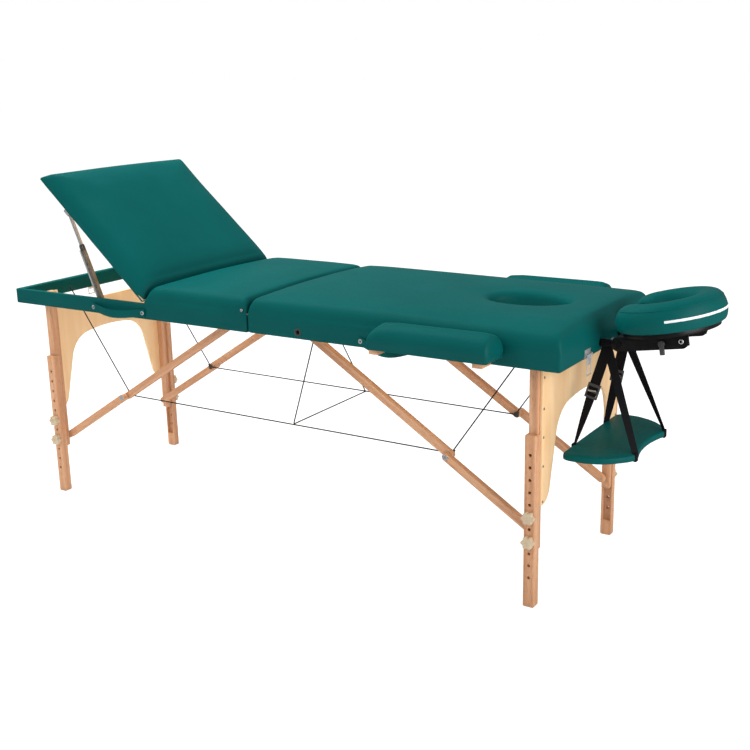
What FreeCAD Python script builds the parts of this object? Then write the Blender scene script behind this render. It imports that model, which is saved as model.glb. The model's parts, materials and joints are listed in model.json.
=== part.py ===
"""Portable folding facial bed, built as named sub-parts from one sheet of sizes in millimetres.

X runs from the foot end to the head end, Z is up and the floor is at zero. Every sub-part is modelled
with the fold line at X = 0 and moved by fold_shift, so that the middle of the whole bed is at X = 0.
Paired pieces are modelled on the far side, where Y is positive, and mirrored to the near side.
"""
import FreeCAD
import Part
import math
import os
import re
from types import SimpleNamespace

from FreeCAD import Placement, Rotation, Vector

SIZES = {
    "half_length": (925, "fold line to the outer face of an end rail"),
    "half_width": (305, "middle to the outer face of a side rail"),
    "rail_bottom": (628, "floor to the underside of the rails"),
    "rail_depth": (46, "height of a rail"),
    "rail_wall": (14, "thickness of a side rail"),
    "end_wall": (20, "thickness of an end rail"),
    "fold_gap": (1, "fold line to the end of a side rail"),
    "fold_face": (3.5, "fold line to the face of a fold rail"),
    "fold_wall": (18, "thickness of a fold rail"),
    "axis_drop": (1, "fold axis below the rails"),
    "deck_thick": (6, "plywood deck"),
    "deck_inset": (2, "deck edge inside the face of a side rail"),
    "pad_inset": (1, "pad edge inside the face of a side rail"),
    "pad_side": (46, "pad height at its shoulder"),
    "pad_rise": (6, "extra pad height in the middle"),
    "pad_roll": (34, "width of the rounded top edge"),
    "pad_tuck": (3, "how far a pad side draws in between its corners"),
    "pad_end": (14, "length over which a plain pad end rounds up"),
    "back_gap": (4, "backrest axis to the end of the seat"),
    "hole_inset": (220, "end rail face to the middle of the breath hole"),
    "hole_long": (110, "breath hole half length"),
    "hole_wide": (78, "breath hole half width"),
    "leg_inset": (90, "end rail face to a leg pivot"),
    "leg_rise": (23.5, "leg pivot above the underside of the rails"),
    "post_in": (8.5, "post, from the pivot towards the fold"),
    "post_out": (14.5, "post, from the pivot towards the end"),
    "post_wide": (27, "post across the bed"),
    "post_clear": (29, "side rail to a post"),
    "post_head": (12, "post above its pivot"),
    "post_foot": (150, "floor to the bottom of a post"),
    "panel_thick": (8, "plywood leg panel"),
    "panel_inset": (11, "leg panel edge inside the outer face of a post"),
    "panel_head": (6, "leg panel above the pivot"),
    "panel_foot": (268, "floor to the bottom of a leg panel"),
    "scoop_deep": (53.5, "dip in the top of a leg panel"),
    "scoop_side": (46, "leg panel beside its dip"),
    "panel_bridge": (98, "leg panel between its dip and its arch"),
    "arch_side": (51, "panel beside the arch at its spring"),
    "arch_spring": (300, "floor to the spring of the arch"),
    "arch_lean": (34, "spring of the arch to its shoulder, along Y"),
    "arch_drop": (74, "top of the arch to its shoulder"),
    "arch_flat": (95, "half the flat top of the arch"),
    "ext_in": (14, "extension, from the pivot line towards the fold"),
    "ext_out": (18, "extension, from the pivot line towards the end"),
    "ext_wide": (24, "extension across the bed"),
    "ext_top": (456, "floor to the top of an extension"),
    "ext_edge": (5, "rounding of the extension edges"),
    "groove_deep": (11, "depth of the groove for the post"),
    "groove_gap": (0.4, "play beside the post"),
    "groove_play": (0.5, "play behind the post"),
    "groove_foot": (45, "floor to the closed end of the groove"),
    "hole_low": (80, "floor to the lowest height hole"),
    "hole_pitch": (32.5, "spacing of the height holes"),
    "hole_count": (11, "height holes in an extension"),
    "hole_radius": (4.3, "height hole"),
    "knob_low": (3, "height hole of the lower knob, counted from zero"),
    "knob_high": (5, "height hole of the upper knob, counted from zero"),
    "knob_radius": (17, "knob over its lobes"),
    "knob_thick": (13.5, "knob thickness"),
    "bolt_radius": (4, "knob bolts and leg pivot bolts"),
    "spacer_radius": (9, "spacer on a leg pivot bolt"),
    "link_width": (21, "width of a brace link"),
    "link_thick": (18, "thickness of a brace link"),
    "link_gap": (2, "between a post and the links beside it"),
    "link_place": (85, "fold line to the upper link pivot"),
    "link_seat": (4, "lower link pivot from the leg pivot line, towards the fold"),
    "link_foot": (181.5, "floor to the lower link pivot"),
    "pin_radius": (3.5, "pins of the braces and props"),
    "sheet_steel": (2, "bent brackets"),
    "leaf_place": (180, "middle to a fold hinge"),
    "leaf_length": (70, "fold hinge"),
    "leaf_thick": (1.6, "hinge leaves"),
    "knuckle_radius": (3, "hinge knuckles"),
    "hinge_pin": (1.5, "hinge pin radius"),
    "back_place": (385, "fold line to the backrest axis"),
    "back_angle": (42, "backrest above the rails"),
    "back_lift": (0.3, "flat backrest deck clear of the rails"),
    "back_barrel": (3.6, "backrest hinge knuckles"),
    "back_inset": (35, "end rail face to the end of the flat backrest deck"),
    "back_over": (10, "backrest pad past its deck"),
    "back_ramp": (25, "slope of the two pad ends that meet at the backrest axis"),
    "prop_place": (565, "fold line to the lower pivot of a prop"),
    "prop_rise": (22, "prop pivot above the underside of the rails"),
    "prop_reach": (385, "backrest axis to the upper pivot of a prop"),
    "prop_drop": (13, "upper pivot of a prop below the backrest axis line"),
    "prop_clear": (2.5, "side rail to a prop"),
    "prop_thick": (10, "prop tube across"),
    "prop_wide": (14, "prop tube in the plane of its swing"),
    "prop_wall": (1.8, "prop tube wall"),
    "prop_tube": (187, "lower pivot to the end of the tube"),
    "prop_rod": (165, "upper pivot to the end of the sliding rod"),
    "bush_first": (172, "fold line to the first armrest socket"),
    "bush_pitch": (288, "spacing of the armrest sockets"),
    "bush_rise": (20, "armrest sockets above the underside of the rails"),
    "bush_radius": (9, "socket bush outside"),
    "bush_flange": (11, "socket bush flange radius"),
    "bush_deep": (27, "socket bush from the face of the rail"),
    "peg_radius": (6, "armrest pegs"),
    "peg_play": (0.1, "play round a peg"),
    "rest_over": (20, "armrest past its foot-side peg"),
    "rest_tail": (37, "armrest past its head-side peg"),
    "rest_gap": (5, "side rail to an armrest"),
    "rest_half": (47.5, "half the width of an armrest"),
    "rest_board": (10, "armrest board"),
    "rest_pad": (56, "armrest pad height"),
    "strap_wide": (22, "carry strap"),
    "strap_thick": (2.5, "carry strap thickness"),
    "head_strap_sag": (20, "how far the middle of the head carry strap hangs"),
    "seat_strap_sag": (9, "how far the middle of the seat carry strap hangs"),
    "strap_stand": (4.4, "seat strap off the rail, so that the two straps pass when folded"),
    "strap_lead": (94, "head carry strap ahead of the middle socket, which it hangs below"),
    "head_strap_long": (180, "head carry strap between its ends"),
    "head_strap_bow": (10, "head carry strap outwards in the middle"),
    "seat_strap_start": (376, "fold line to the seat carry strap"),
    "seat_strap_long": (211, "seat carry strap between its ends"),
    "seat_strap_bow": (18, "seat carry strap outwards in the middle"),
    "rod_place": (63, "middle to a cradle rod"),
    "rod_rise": (24, "cradle rods above the underside of the rails"),
    "rod_radius": (7, "cradle rods"),
    "rod_deep": (57, "cradle rod inside the end rail face"),
    "yoke_gap": (37, "end rail to the cradle yoke"),
    "yoke_length": (30, "cradle yoke"),
    "arm_inset": (15, "near face of the yoke to the cradle arm pivot"),
    "arm_reach": (156, "cradle arm pivot to the tilt pivot"),
    "arm_end_rise": (52, "cradle tilt pivot above the underside of the rails"),
    "arm_gap": (1.4, "cradle rod to a cradle arm"),
    "arm_thick": (5, "cradle arm plate"),
    "arm_wide": (36, "cradle arm plate depth"),
    "plate_rise": (72, "cradle platform above the underside of the rails"),
    "plate_thick": (11.5, "cradle platform"),
    "cradle_back": (46, "tilt pivot back to the middle of the cradle cushion"),
    "cradle_long": (135, "cradle cushion half length"),
    "tilt_draw": (8.8, "what the tilt of the cushion takes off its reach"),
    "cradle_wide": (150, "cradle cushion half width"),
    "cradle_ring": (80, "width of the cushion ring"),
    "cradle_high": (66, "height of the cradle cushion"),
    "cradle_open": (26, "half the open angle of the horseshoe, degrees"),
    "shelf_top": (392, "floor to the top of the arm shelf"),
    "shelf_thick": (18, "arm shelf"),
    "loop_gap": (20, "end rail to the sling loops"),
    "loop_play": (0.95, "play of a sling loop round its rod"),
    "band_wide": (24, "sling strap"),
    "band_thick": (1.6, "sling strap thickness"),
    "latch_reach": (8.6, "end rail to the front of a latch"),
    "latch_rise": (12, "latch pivot above the underside of the rails"),
    "bail_drop": (50, "length of a latch bail"),
    "latch_head": (148, "middle to the latch of the head end, on the near side"),
    "latch_foot": (15, "middle to the latch of the foot end, on the far side"),
    "cable_radius": (1.5, "wire stays"),
    "stay_inset": (29, "leg pivot line to the top of a leg stay"),
    "centre_near": (163, "fold line to the near end of the centre stay"),
    "centre_low": (58, "fold line to the low run of the centre stay"),
    "centre_far": (130, "fold line to the far end of the centre stay"),
}

PLACES = {
    "deck_half": "half_width - deck_inset",
    "pad_half": "half_width - pad_inset",
    "seat_length": "back_place - back_gap",
    "hole_place": "half_length - hole_inset",
    "leg_place": "half_length - leg_inset",
    "post_back": "half_width - rail_wall - post_clear",
    "post_face": "post_back - post_wide",
    "panel_half": "post_back - panel_inset",
    "arch_half": "panel_half - arch_side",
    "panel_top": "rail_bottom + leg_rise + panel_head",
    "scoop_floor": "panel_top - scoop_deep",
    "arch_crest": "scoop_floor - panel_bridge",
    "ext_face": "post_back - groove_deep + groove_play",
    "ext_back": "ext_face + ext_wide",
    "link_lower": "post_face - link_gap - link_thick",
    "link_upper": "link_lower - link_gap - link_thick",
    "link_drop": "rail_bottom + leg_rise - link_foot",
    "back_length": "half_length - back_place - back_inset",
    "back_pad": "back_length + back_over",
    "prop_face": "half_width - rail_wall - prop_clear - prop_thick",
    "rest_start": "bush_first + bush_pitch - rest_over",
    "rest_length": "bush_pitch + rest_over + rest_tail",
    "rest_middle": "half_width + rest_gap + rest_half",
    "head_strap_start": "bush_first + bush_pitch - strap_lead",
    "rod_start": "half_length - rod_deep",
    "yoke_start": "half_length + yoke_gap",
    "arm_start": "yoke_start + arm_inset",
    "arm_end": "arm_start + arm_reach",
    "arm_place": "rod_place + rod_radius + arm_gap",
    "cradle_tip": "arm_end - cradle_back + cradle_long - tilt_draw",
    "loop_place": "half_length + loop_gap",
}

doc = FreeCAD.newDocument("FacialBed")
sheet = doc.addObject("Spreadsheet::Sheet", "Sizes")
for row, (alias, (value, note)) in enumerate(SIZES.items(), start=1):
    sheet.set(f"A{row}", alias)
    sheet.set(f"B{row}", str(value))
    sheet.set(f"C{row}", note)
    sheet.setAlias(f"B{row}", alias)
doc.recompute()

size = SimpleNamespace(**{alias: float(sheet.get(alias)) for alias in SIZES})
for alias, words in PLACES.items():
    terms = ("+ " + words).split()
    signs = [1 if sign == "+" else -1 for sign in terms[::2]]
    setattr(size, alias, sum(sign * getattr(size, word) for sign, word in zip(signs, terms[1::2])))
SUMS = re.compile(r"\b(" + "|".join(PLACES) + r")\b")
WORD = re.compile(r"\b(" + "|".join(SIZES) + r")\b")
nodes = []
PLAIN_END = ((0.0, 0.1), (0.12, 0.34), (0.4, 0.66), (1.0, 0.93), (2.2, 1.0))
SLOPED_END = ((0.0, 0.08), (0.2, 0.28), (0.56, 0.64), (1.0, 0.92), (2.2, 1.0))

RAIL_TOP = "(rail_bottom + rail_depth)"
DECK_TOP = "(rail_bottom + rail_depth + deck_thick)"
LEG_Z = "(rail_bottom + leg_rise)"
AXIS_Z = "(rail_bottom - axis_drop)"
BACK_Z = "(rail_bottom + rail_depth + deck_thick / 2 + back_lift)"
ROD_Z = "(rail_bottom + rod_rise)"
BUSH_Z = "(rail_bottom + bush_rise)"
INNER = "(half_width - rail_wall)"
LATCH_Z = "(rail_bottom + latch_rise)"
EXT_MIDDLE = "(leg_place + (ext_out - ext_in) / 2)"
FOLD_SHIFT = "((half_length + latch_reach - cradle_tip) / 2)"
ARM_RISE = "(arm_end_rise - rod_rise - 3)"
ARM_TURN = f"(-atan2({ARM_RISE}; arm_end - arm_start))"
LINK_OPEN = "hypot(leg_place - link_seat - link_place; link_drop)"
LINK_SHUT = "hypot(leg_place - link_drop - link_place; link_seat)"
LINK_UP = f"(({LINK_OPEN} + {LINK_SHUT}) / 2)"
LINK_LOW = f"(({LINK_OPEN} - {LINK_SHUT}) / 2)"
LINK_ANGLE = "atan2(link_drop; leg_place - link_seat - link_place)"
ALONG = {
    "x": Rotation(Vector(0, 1, 0), 90),
    "y": Rotation(Vector(1, 0, 0), -90),
    "z": Rotation(),
}


def sized(text):
    """Write the places in an expression as sums of sizes, and the sizes as cells of the sheet."""
    words = str(text)
    while SUMS.search(words):
        words = SUMS.sub(lambda found: f"({PLACES[found.group(1)]})", words)
    return WORD.sub(r"Sizes.\1", words)


def bind(obj, paths):
    """Bind properties of an object to expressions written in aliases."""
    for path, text in paths.items():
        obj.setExpression(path, sized(text))
    return obj


def place(obj, x="0", y="0", z="0"):
    """Bind the position of an object."""
    return bind(obj, {"Placement.Base.x": x, "Placement.Base.y": y, "Placement.Base.z": z})


def turn(obj, angle, axis=Vector(0, 1, 0)):
    """Bind the turn of an object about an axis through its own origin."""
    obj.Placement = Placement(obj.Placement.Base, Rotation(axis, 1))
    return bind(obj, {"Placement.Rotation.Angle": angle})


def block(name, x, y, z):
    """Box between two corners, each side a (low, high) pair of expressions."""
    obj = doc.addObject("Part::Box", name)
    for (low, high), side, axis in zip((x, y, z), ("Length", "Width", "Height"), "xyz"):
        bind(obj, {side: f"({high}) - ({low})", f"Placement.Base.{axis}": low})
    return obj


def bar(name, radius, axis, start, length):
    """Round bar from a start point along one axis."""
    obj = doc.addObject("Part::Cylinder", name)
    obj.Placement = Placement(Vector(), ALONG[axis])
    bind(obj, {"Radius": radius, "Height": length})
    return place(obj, *start)


def oval(name, x, y, z, long, wide, height):
    """Upright elliptical prism."""
    curve = bind(doc.addObject("Part::Ellipse", name + "Curve"), {"MajorRadius": long, "MinorRadius": wide})
    place(curve, x, y, z)
    prism = doc.addObject("Part::Extrusion", name)
    prism.Base = curve
    prism.DirMode = "Custom"
    prism.Dir = Vector(0, 0, 1)
    prism.Solid = True
    return bind(prism, {"LengthFwd": height})


def fuse(name, *parts):
    """Union of several solids."""
    obj = doc.addObject("Part::MultiFuse", name)
    obj.Shapes = list(parts)
    return obj


def group(name, *parts):
    """Several separate solids kept together."""
    obj = doc.addObject("Part::Compound", name)
    obj.Links = list(parts)
    return obj


def cut(name, base, *tools):
    """Solid with one or more separate tools taken out of it."""
    obj = doc.addObject("Part::Cut", name)
    obj.Base = base
    obj.Tool = tools[0] if len(tools) == 1 else group(name + "Tools", *tools)
    return obj


def mirror(name, source, normal):
    """Copy of a solid reflected through the origin plane with this normal."""
    obj = doc.addObject("Part::Mirroring", name)
    obj.Source = source
    obj.Normal = normal
    obj.Base = Vector()
    return obj


def across(source):
    """Copy of a far piece on the near side."""
    return mirror(source.Name + "Near", source, Vector(0, 1, 0))


def footward(source):
    """Copy of a head-half piece on the seat half."""
    return mirror(source.Name + "Foot", source, Vector(1, 0, 0))


def both(source):
    """A far piece and its near copy."""
    return [source, across(source)]


def solid(name, shape):
    """Object holding a shape that was made in code."""
    obj = doc.addObject("Part::Feature", name)
    obj.Shape = shape
    return obj


def node(label, *parts):
    """Sub-part made of one or more separate solids, moved into the shared frame."""
    obj = group("Node_" + label, *parts)
    obj.Label = label
    place(obj, FOLD_SHIFT)
    nodes.append(obj)
    return obj


def sketched(name, plane, edges, length):
    """Body padded from a closed outline on one of its own origin planes."""
    body = doc.addObject("PartDesign::Body", name)
    outline = body.newObject("Sketcher::SketchObject", name + "Outline")
    face = next(item for item in body.Origin.OriginFeatures if item.Role == plane)
    outline.AttachmentSupport = [(face, "")]
    outline.MapMode = "FlatFace"
    for edge in edges:
        outline.addGeometry(edge, False)
    pad = body.newObject("PartDesign::Pad", name + "Pad")
    pad.Profile = outline
    bind(pad, {"Length": length})
    return body


def loop_of(points, arcs=()):
    """Closed outline through points; the points whose index is in arcs are the middle of an arc."""
    edges = []
    count = len(points)
    at = 0
    while at < count:
        start = Vector(*points[at])
        if (at + 1) % count in arcs:
            middle = Vector(*points[(at + 1) % count])
            edges.append(Part.Arc(start, middle, Vector(*points[(at + 2) % count])))
            at += 2
        else:
            edges.append(Part.LineSegment(start, Vector(*points[(at + 1) % count])))
            at += 1
    return edges


def bowed(start, end, bulge):
    """Middle of an arc between two points of an outline, standing out to the right of the way by bulge."""
    along = (end[0] - start[0], end[1] - start[1])
    length = math.hypot(*along)
    return (
        (start[0] + end[0]) / 2 + bulge * along[1] / length,
        (start[1] + end[1]) / 2 - bulge * along[0] / length,
    )


def rounded(name, source, radius, wanted):
    """Fillet of the edges of a solid for which wanted(middle of the edge) is true."""
    doc.recompute()
    obj = doc.addObject("Part::Fillet", name)
    obj.Base = source
    picked = [at for at, edge in enumerate(source.Shape.Edges, start=1) if wanted(edge)]
    obj.Edges = [(at, radius, radius) for at in picked]
    return obj


def cushion_wire(x, half, side, rise):
    """Section of a cushion at x: flat base, two bellied sides and a crowned top."""
    roll = size.pad_roll * side / size.pad_side
    low_far = Vector(x, half - 2, 0)
    low_near = Vector(x, 2 - half, 0)
    top_far = Vector(x, half - roll, side)
    top_near = Vector(x, roll - half, side)
    edges = [
        Part.LineSegment(low_near, low_far),
        Part.Arc(low_far, Vector(x, half, 0.42 * side), top_far),
        Part.Arc(top_far, Vector(x, 0, side + rise), top_near),
        Part.Arc(top_near, Vector(x, -half, 0.42 * side), low_near),
    ]
    return Part.Wire([edge.toShape() for edge in edges])


def cushion(length, half, side, rise, first, last, corner=4):
    """Ruled loft along X of a cushion; first and last are the length and the outline of its ends.

    The sides draw in by pad_tuck between the corners, and the corners are narrower by corner.
    """
    stations = [(first[0] * share, high) for share, high in first[1]]
    stations.extend((length - last[0] * share, high) for share, high in last[1])
    stations.extend((length * share, 1.0) for share in (0.3, 0.5, 0.7))
    wires = []
    for x, high in sorted(stations):
        inward = size.pad_tuck * math.sin(math.pi * x / length) + corner * (1 - high) ** 2
        wires.append(cushion_wire(x, half - inward, side * high, rise * high))
    return Part.makeLoft(wires, True, True)


def bush_x(at):
    """Place along the bed of an armrest socket."""
    return f"bush_first + {at} * bush_pitch"


def make_rails():
    """Side, end and fold rails of both halves, with the bores they carry."""
    side = block(
        "SideRail", ("fold_gap", "half_length - end_wall"), (INNER, "half_width"), ("rail_bottom", RAIL_TOP)
    )
    bores = [
        bar(f"BushBore{at}", "bush_radius", "y", (bush_x(at), INNER, BUSH_Z), "rail_wall")
        for at in range(3)
    ]
    node("head_side_rails", *both(cut("HeadSideRail", side, *bores)))
    node("seat_side_rails", *[footward(piece) for piece in both(side)])
    end = block(
        "EndRail",
        ("half_length - end_wall", "half_length"),
        ("-half_width", "half_width"),
        ("rail_bottom", RAIL_TOP),
    )
    sockets = [
        bar(
            f"RodBore{sign}",
            "rod_radius + 3",
            "x",
            ("half_length - end_wall", f"{sign}rod_place", ROD_Z),
            "end_wall",
        )
        for sign in ("", "-")
    ]
    fold = block(
        "FoldRail", ("fold_face", "fold_face + fold_wall"), (f"-{INNER}", INNER), ("rail_bottom", RAIL_TOP)
    )
    node("head_end_rail", cut("HeadEndRail", end, *sockets))
    node("head_fold_rail", fold)
    node("foot_end_rail", footward(end))
    node("seat_fold_rail", footward(fold))


def make_decks():
    """Plywood decks of both halves and the backrest."""
    head = block(
        "HeadDeckSheet", ("fold_gap", "half_length - 2"), ("-deck_half", "deck_half"), (RAIL_TOP, DECK_TOP)
    )
    hole = oval("DeckHole", "hole_place", "0", RAIL_TOP, "hole_long", "hole_wide", "deck_thick")
    node("head_deck", cut("HeadDeck", head, hole))
    seat = block("SeatDeck", ("-seat_length", "-fold_gap"), ("-deck_half", "deck_half"), (RAIL_TOP, DECK_TOP))
    node("seat_deck", seat)


def make_pads():
    """Padded tops of both halves; the head pad has the breath hole."""
    top = size.rail_bottom + size.rail_depth + size.deck_thick
    base = (size.pad_half, size.pad_side, size.pad_rise)
    plain = (size.pad_end, PLAIN_END)
    shape = cushion(size.half_length - size.fold_gap, *base, plain, plain)
    shape.translate(Vector(size.fold_gap, 0, top))
    height = "pad_side + pad_rise + 5"
    hole = oval("PadHole", "hole_place", "0", DECK_TOP, "hole_long", "hole_wide", height)
    node("head_pad", cut("HeadPad", solid("HeadPadWhole", shape), hole))
    seat = cushion(size.seat_length - size.fold_gap, *base, (size.back_ramp, SLOPED_END), plain)
    seat.translate(Vector(-size.seat_length, 0, top))
    node("seat_pad", solid("SeatPad", seat))


def raised(obj):
    """Move a piece modelled flat, with the backrest axis as its origin, to the raised backrest."""
    turn(obj, "back_angle")
    return place(obj, "-back_place", "0", BACK_Z)


def make_backrest():
    """Backrest deck, pad, hinge leaves and prop clips, with their partners on the seat deck."""
    half = "deck_thick / 2"
    low = f"-{half}"
    deck = block("BackDeck", ("-back_length", "-4"), ("-deck_half", "deck_half"), (low, half))
    node("backrest_deck", raised(group("BackDeckSet", deck)))
    base = (size.pad_half, size.pad_side, size.pad_rise)
    pad = cushion(size.back_pad - 4, *base, (size.pad_end, PLAIN_END), (size.back_ramp, SLOPED_END))
    pad.translate(Vector(-size.back_pad, 0, size.deck_thick / 2 + 0.02))
    node("backrest_pad", raised(group("BackPadSet", solid("BackPad", pad))))
    leaf_z = (f"{low} - 0.02 - leaf_thick", f"{low} - 0.02")
    seat_z = tuple(f"{level} - back_lift" for level in leaf_z)
    pieces = []
    fixed = []
    for at, y in enumerate(("-210", "150")):
        wing = block(f"BackLeaf{at}", ("-34", "-0.2"), (f"{y} + 20.2", f"{y} + 39.8"), leaf_z)
        barrel = bar(f"BackBarrel{at}", "back_barrel", "y", ("0", f"{y} + 20.2", "0"), "19.6")
        pin = bar(f"BackPin{at}", "hinge_pin", "y", ("0", y, "0"), "60")
        pieces.append(fuse(f"BackHinge{at}", wing, barrel, pin))
        plate = block(f"SeatLeaf{at}", ("4.2", "34"), (y, f"{y} + 60"), seat_z)
        for end, start in enumerate(("0", "40")):
            low_y = f"{y} + {start}"
            tab = block(f"SeatTab{at}{end}", ("0.2", "4.2"), (low_y, f"{low_y} + 20"), seat_z)
            ring = bar(f"SeatRing{at}{end}", "back_barrel", "y", ("0", low_y, "0"), "20")
            plate = fuse(f"SeatPlate{at}{end}", plate, tab, ring)
        bore = bar(f"SeatBore{at}", "hinge_pin + 0.05", "y", ("0", f"{y} - 1", "0"), "62")
        fixed.append(place(cut(f"SeatHinge{at}", plate, bore), "-back_place", "0", BACK_Z))
    clip_x = ("-prop_reach - 11", "-prop_reach + 11")
    seat = f"{low} - 0.02"
    clip_z = ("-prop_drop - 9", seat)
    face = "prop_face - 0.8"
    back = "prop_face + prop_thick + 0.7"
    inner = block("ClipInner", clip_x, (f"{face} - 1.4", face), clip_z)
    outer = block("ClipOuter", clip_x, (back, f"{back} + 1.6"), clip_z)
    crown = block("ClipCrown", clip_x, (f"{face} - 1.4", f"{back} + 1.6"), (f"{seat} - 1.6", seat))
    pieces.extend(both(fuse("PropClip", inner, outer, crown)))
    node("backrest_brackets", raised(group("BackBracketSet", *pieces)))
    node("backrest_hinge_leaves", *fixed)


def prop_place():
    """Length and angle in degrees of a prop in the raised pose."""
    angle = math.radians(size.back_angle)
    run = size.back_place - size.prop_place
    run += size.prop_reach * math.cos(angle) + size.prop_drop * math.sin(angle)
    rise = size.rail_depth + size.deck_thick / 2 + size.back_lift - size.prop_rise
    rise += size.prop_reach * math.sin(angle) - size.prop_drop * math.cos(angle)
    return math.hypot(run, rise), math.degrees(math.atan2(rise, run))


def make_props():
    """Perforated tubes pivoted on the rails and the rods that slide in them."""
    length, angle = prop_place()
    across_y = ("prop_face", "prop_face + prop_thick")
    inside_y = ("prop_face + prop_wall", "prop_face + prop_thick - prop_wall")
    shell = block("PropShell", ("-prop_tube", "9"), across_y, ("-prop_wide / 2", "prop_wide / 2"))
    room = block(
        "PropRoom", ("-prop_tube", "-9"), inside_y, ("prop_wall - prop_wide / 2", "prop_wide / 2 - prop_wall")
    )
    eye = bar("PropEye", "pin_radius + 0.08", "y", ("0", "prop_face", "0"), "prop_thick")
    holes = [
        bar(f"PropHole{at}", "2.4", "y", (f"-26 - {at} * 15", "prop_face", "0"), "prop_thick")
        for at in range(10)
    ]
    hollow = cut("PropHollow", shell, room)
    tube = cut("PropTube", cut("PropPivoted", hollow, eye), *holes)
    rod_y = ("prop_face + prop_wall + 0.2", "prop_face + prop_thick - prop_wall - 0.2")
    rod_z = ("prop_wall + 0.2 - prop_wide / 2", "prop_wide / 2 - prop_wall - 0.2")
    stem = block("PropStem", ("0", "prop_rod"), rod_y, rod_z)
    tip = bar("PropTip", "6.5", "y", ("0", "prop_face + 0.4", "0"), "prop_thick - 0.8")
    rod = fuse("PropRod", stem, tip)
    place(rod, str(-length))
    rods = group("PropRodSet", *both(rod))
    tubes = group("PropTubeSet", *both(tube))
    for label, obj in (("prop_tubes", tubes), ("prop_rods", rods)):
        turn(obj, str(angle))
        node(label, place(obj, "-prop_place", "0", "rail_bottom + prop_rise"))


def make_leg():
    """Arched panel and posts of a leg set, then the same set on the seat half."""
    top = size.panel_top
    half = size.panel_half
    foot = size.panel_foot
    shoulder = (size.arch_half - size.arch_lean, size.arch_crest - size.arch_drop)
    crown = (size.arch_flat, size.arch_crest - 8)
    side = [
        (half, top),
        (half, foot),
        (size.arch_half + 40, foot),
        (size.arch_half + 13, foot + 11),
        (size.arch_half, size.arch_spring),
        shoulder,
        bowed(shoulder, crown, 14.4),
        crown,
    ]
    lip = (half - size.scoop_side, top)
    dip = (half - size.scoop_side - 55, size.scoop_floor)
    scoop = [lip, bowed(lip, dip, -14), dip]
    points = [(-y, z, 0) for y, z in side]
    points.append((0, size.arch_crest, 0))
    points.extend((y, z, 0) for y, z in reversed(side))
    points.extend((y, z, 0) for y, z in scoop)
    points.extend((-y, z, 0) for y, z in reversed(scoop))
    outline = loop_of(points, arcs=(3, 6, 8, 10, 13, 18, 21))
    panel = sketched("LegPanel", "YZ_Plane", outline, "panel_thick")
    place(panel, "leg_place + post_out")
    post = block(
        "PostBar",
        ("leg_place - post_in", "leg_place + post_out"),
        ("post_face", "post_back"),
        ("post_foot", f"{LEG_Z} + post_head"),
    )
    crest = size.rail_bottom + size.leg_rise + size.post_head
    soft = rounded("PostSoft", post, 8, lambda edge: is_edge(edge, "y") and edge.CenterOfMass.z > crest - 1)
    depth = "post_back - post_face"
    pivot = bar("PostPivot", "bolt_radius + 0.08", "y", ("leg_place", "post_face", LEG_Z), depth)
    seat = bar(
        "PostSeat",
        "pin_radius - 0.42",
        "y",
        ("leg_place - link_seat", "post_face", f"{LEG_Z} - link_drop"),
        "11",
    )
    holes = [
        bar(f"PostHole{name}", "hole_radius", "y", (EXT_MIDDLE, "post_back - 12.5", knob_z(name)), "12.5")
        for name in ("knob_low", "knob_high")
    ]
    drilled = cut("LegPost", soft, pivot, seat, *holes)
    posts = both(drilled)
    node("head_leg_panel", panel)
    node("head_leg_posts", *posts)
    node("foot_leg_panel", footward(panel))
    node("foot_leg_posts", *[footward(item) for item in posts])


def knob_z(name):
    """Height of a knob bolt in the rest pose."""
    return f"hole_low + {name} * hole_pitch"


def is_edge(edge, axis):
    """Whether a straight edge runs along one axis."""
    ends = [vertex.Point for vertex in edge.Vertexes]
    if len(ends) != 2:
        return False
    run = ends[1] - ends[0]
    return abs(getattr(run, axis)) > 0.999 * run.Length


def make_extensions():
    """Grooved leg extensions with a row of height holes."""
    body = block(
        "ExtBar",
        ("leg_place - ext_in", "leg_place + ext_out"),
        ("ext_face", "ext_back"),
        ("0", "ext_top"),
    )
    ends = (1, size.ext_top - 1)
    soft = rounded(
        "ExtSoft",
        body,
        size.ext_edge,
        lambda edge: is_edge(edge, "z") and edge.CenterOfMass.y > size.ext_back - 1
        or is_edge(edge, "y") and not ends[0] < edge.CenterOfMass.z < ends[1],
    )
    groove = block(
        "ExtGroove",
        ("leg_place - post_in - groove_gap", "leg_place + post_out + groove_gap"),
        ("ext_face", "ext_face + groove_deep"),
        ("groove_foot", "ext_top"),
    )
    holes = [
        bar(
            f"ExtHole{at}",
            "hole_radius",
            "y",
            (EXT_MIDDLE, "ext_face + groove_deep", f"hole_low + {at} * hole_pitch"),
            "ext_back - ext_face - groove_deep",
        )
        for at in range(int(size.hole_count))
    ]
    far = cut("Extension", cut("ExtGrooved", soft, groove), *holes)
    near = across(far)
    node("head_far_extension", far)
    node("head_near_extension", near)
    node("foot_far_extension", footward(far))
    node("foot_near_extension", footward(near))


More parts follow.
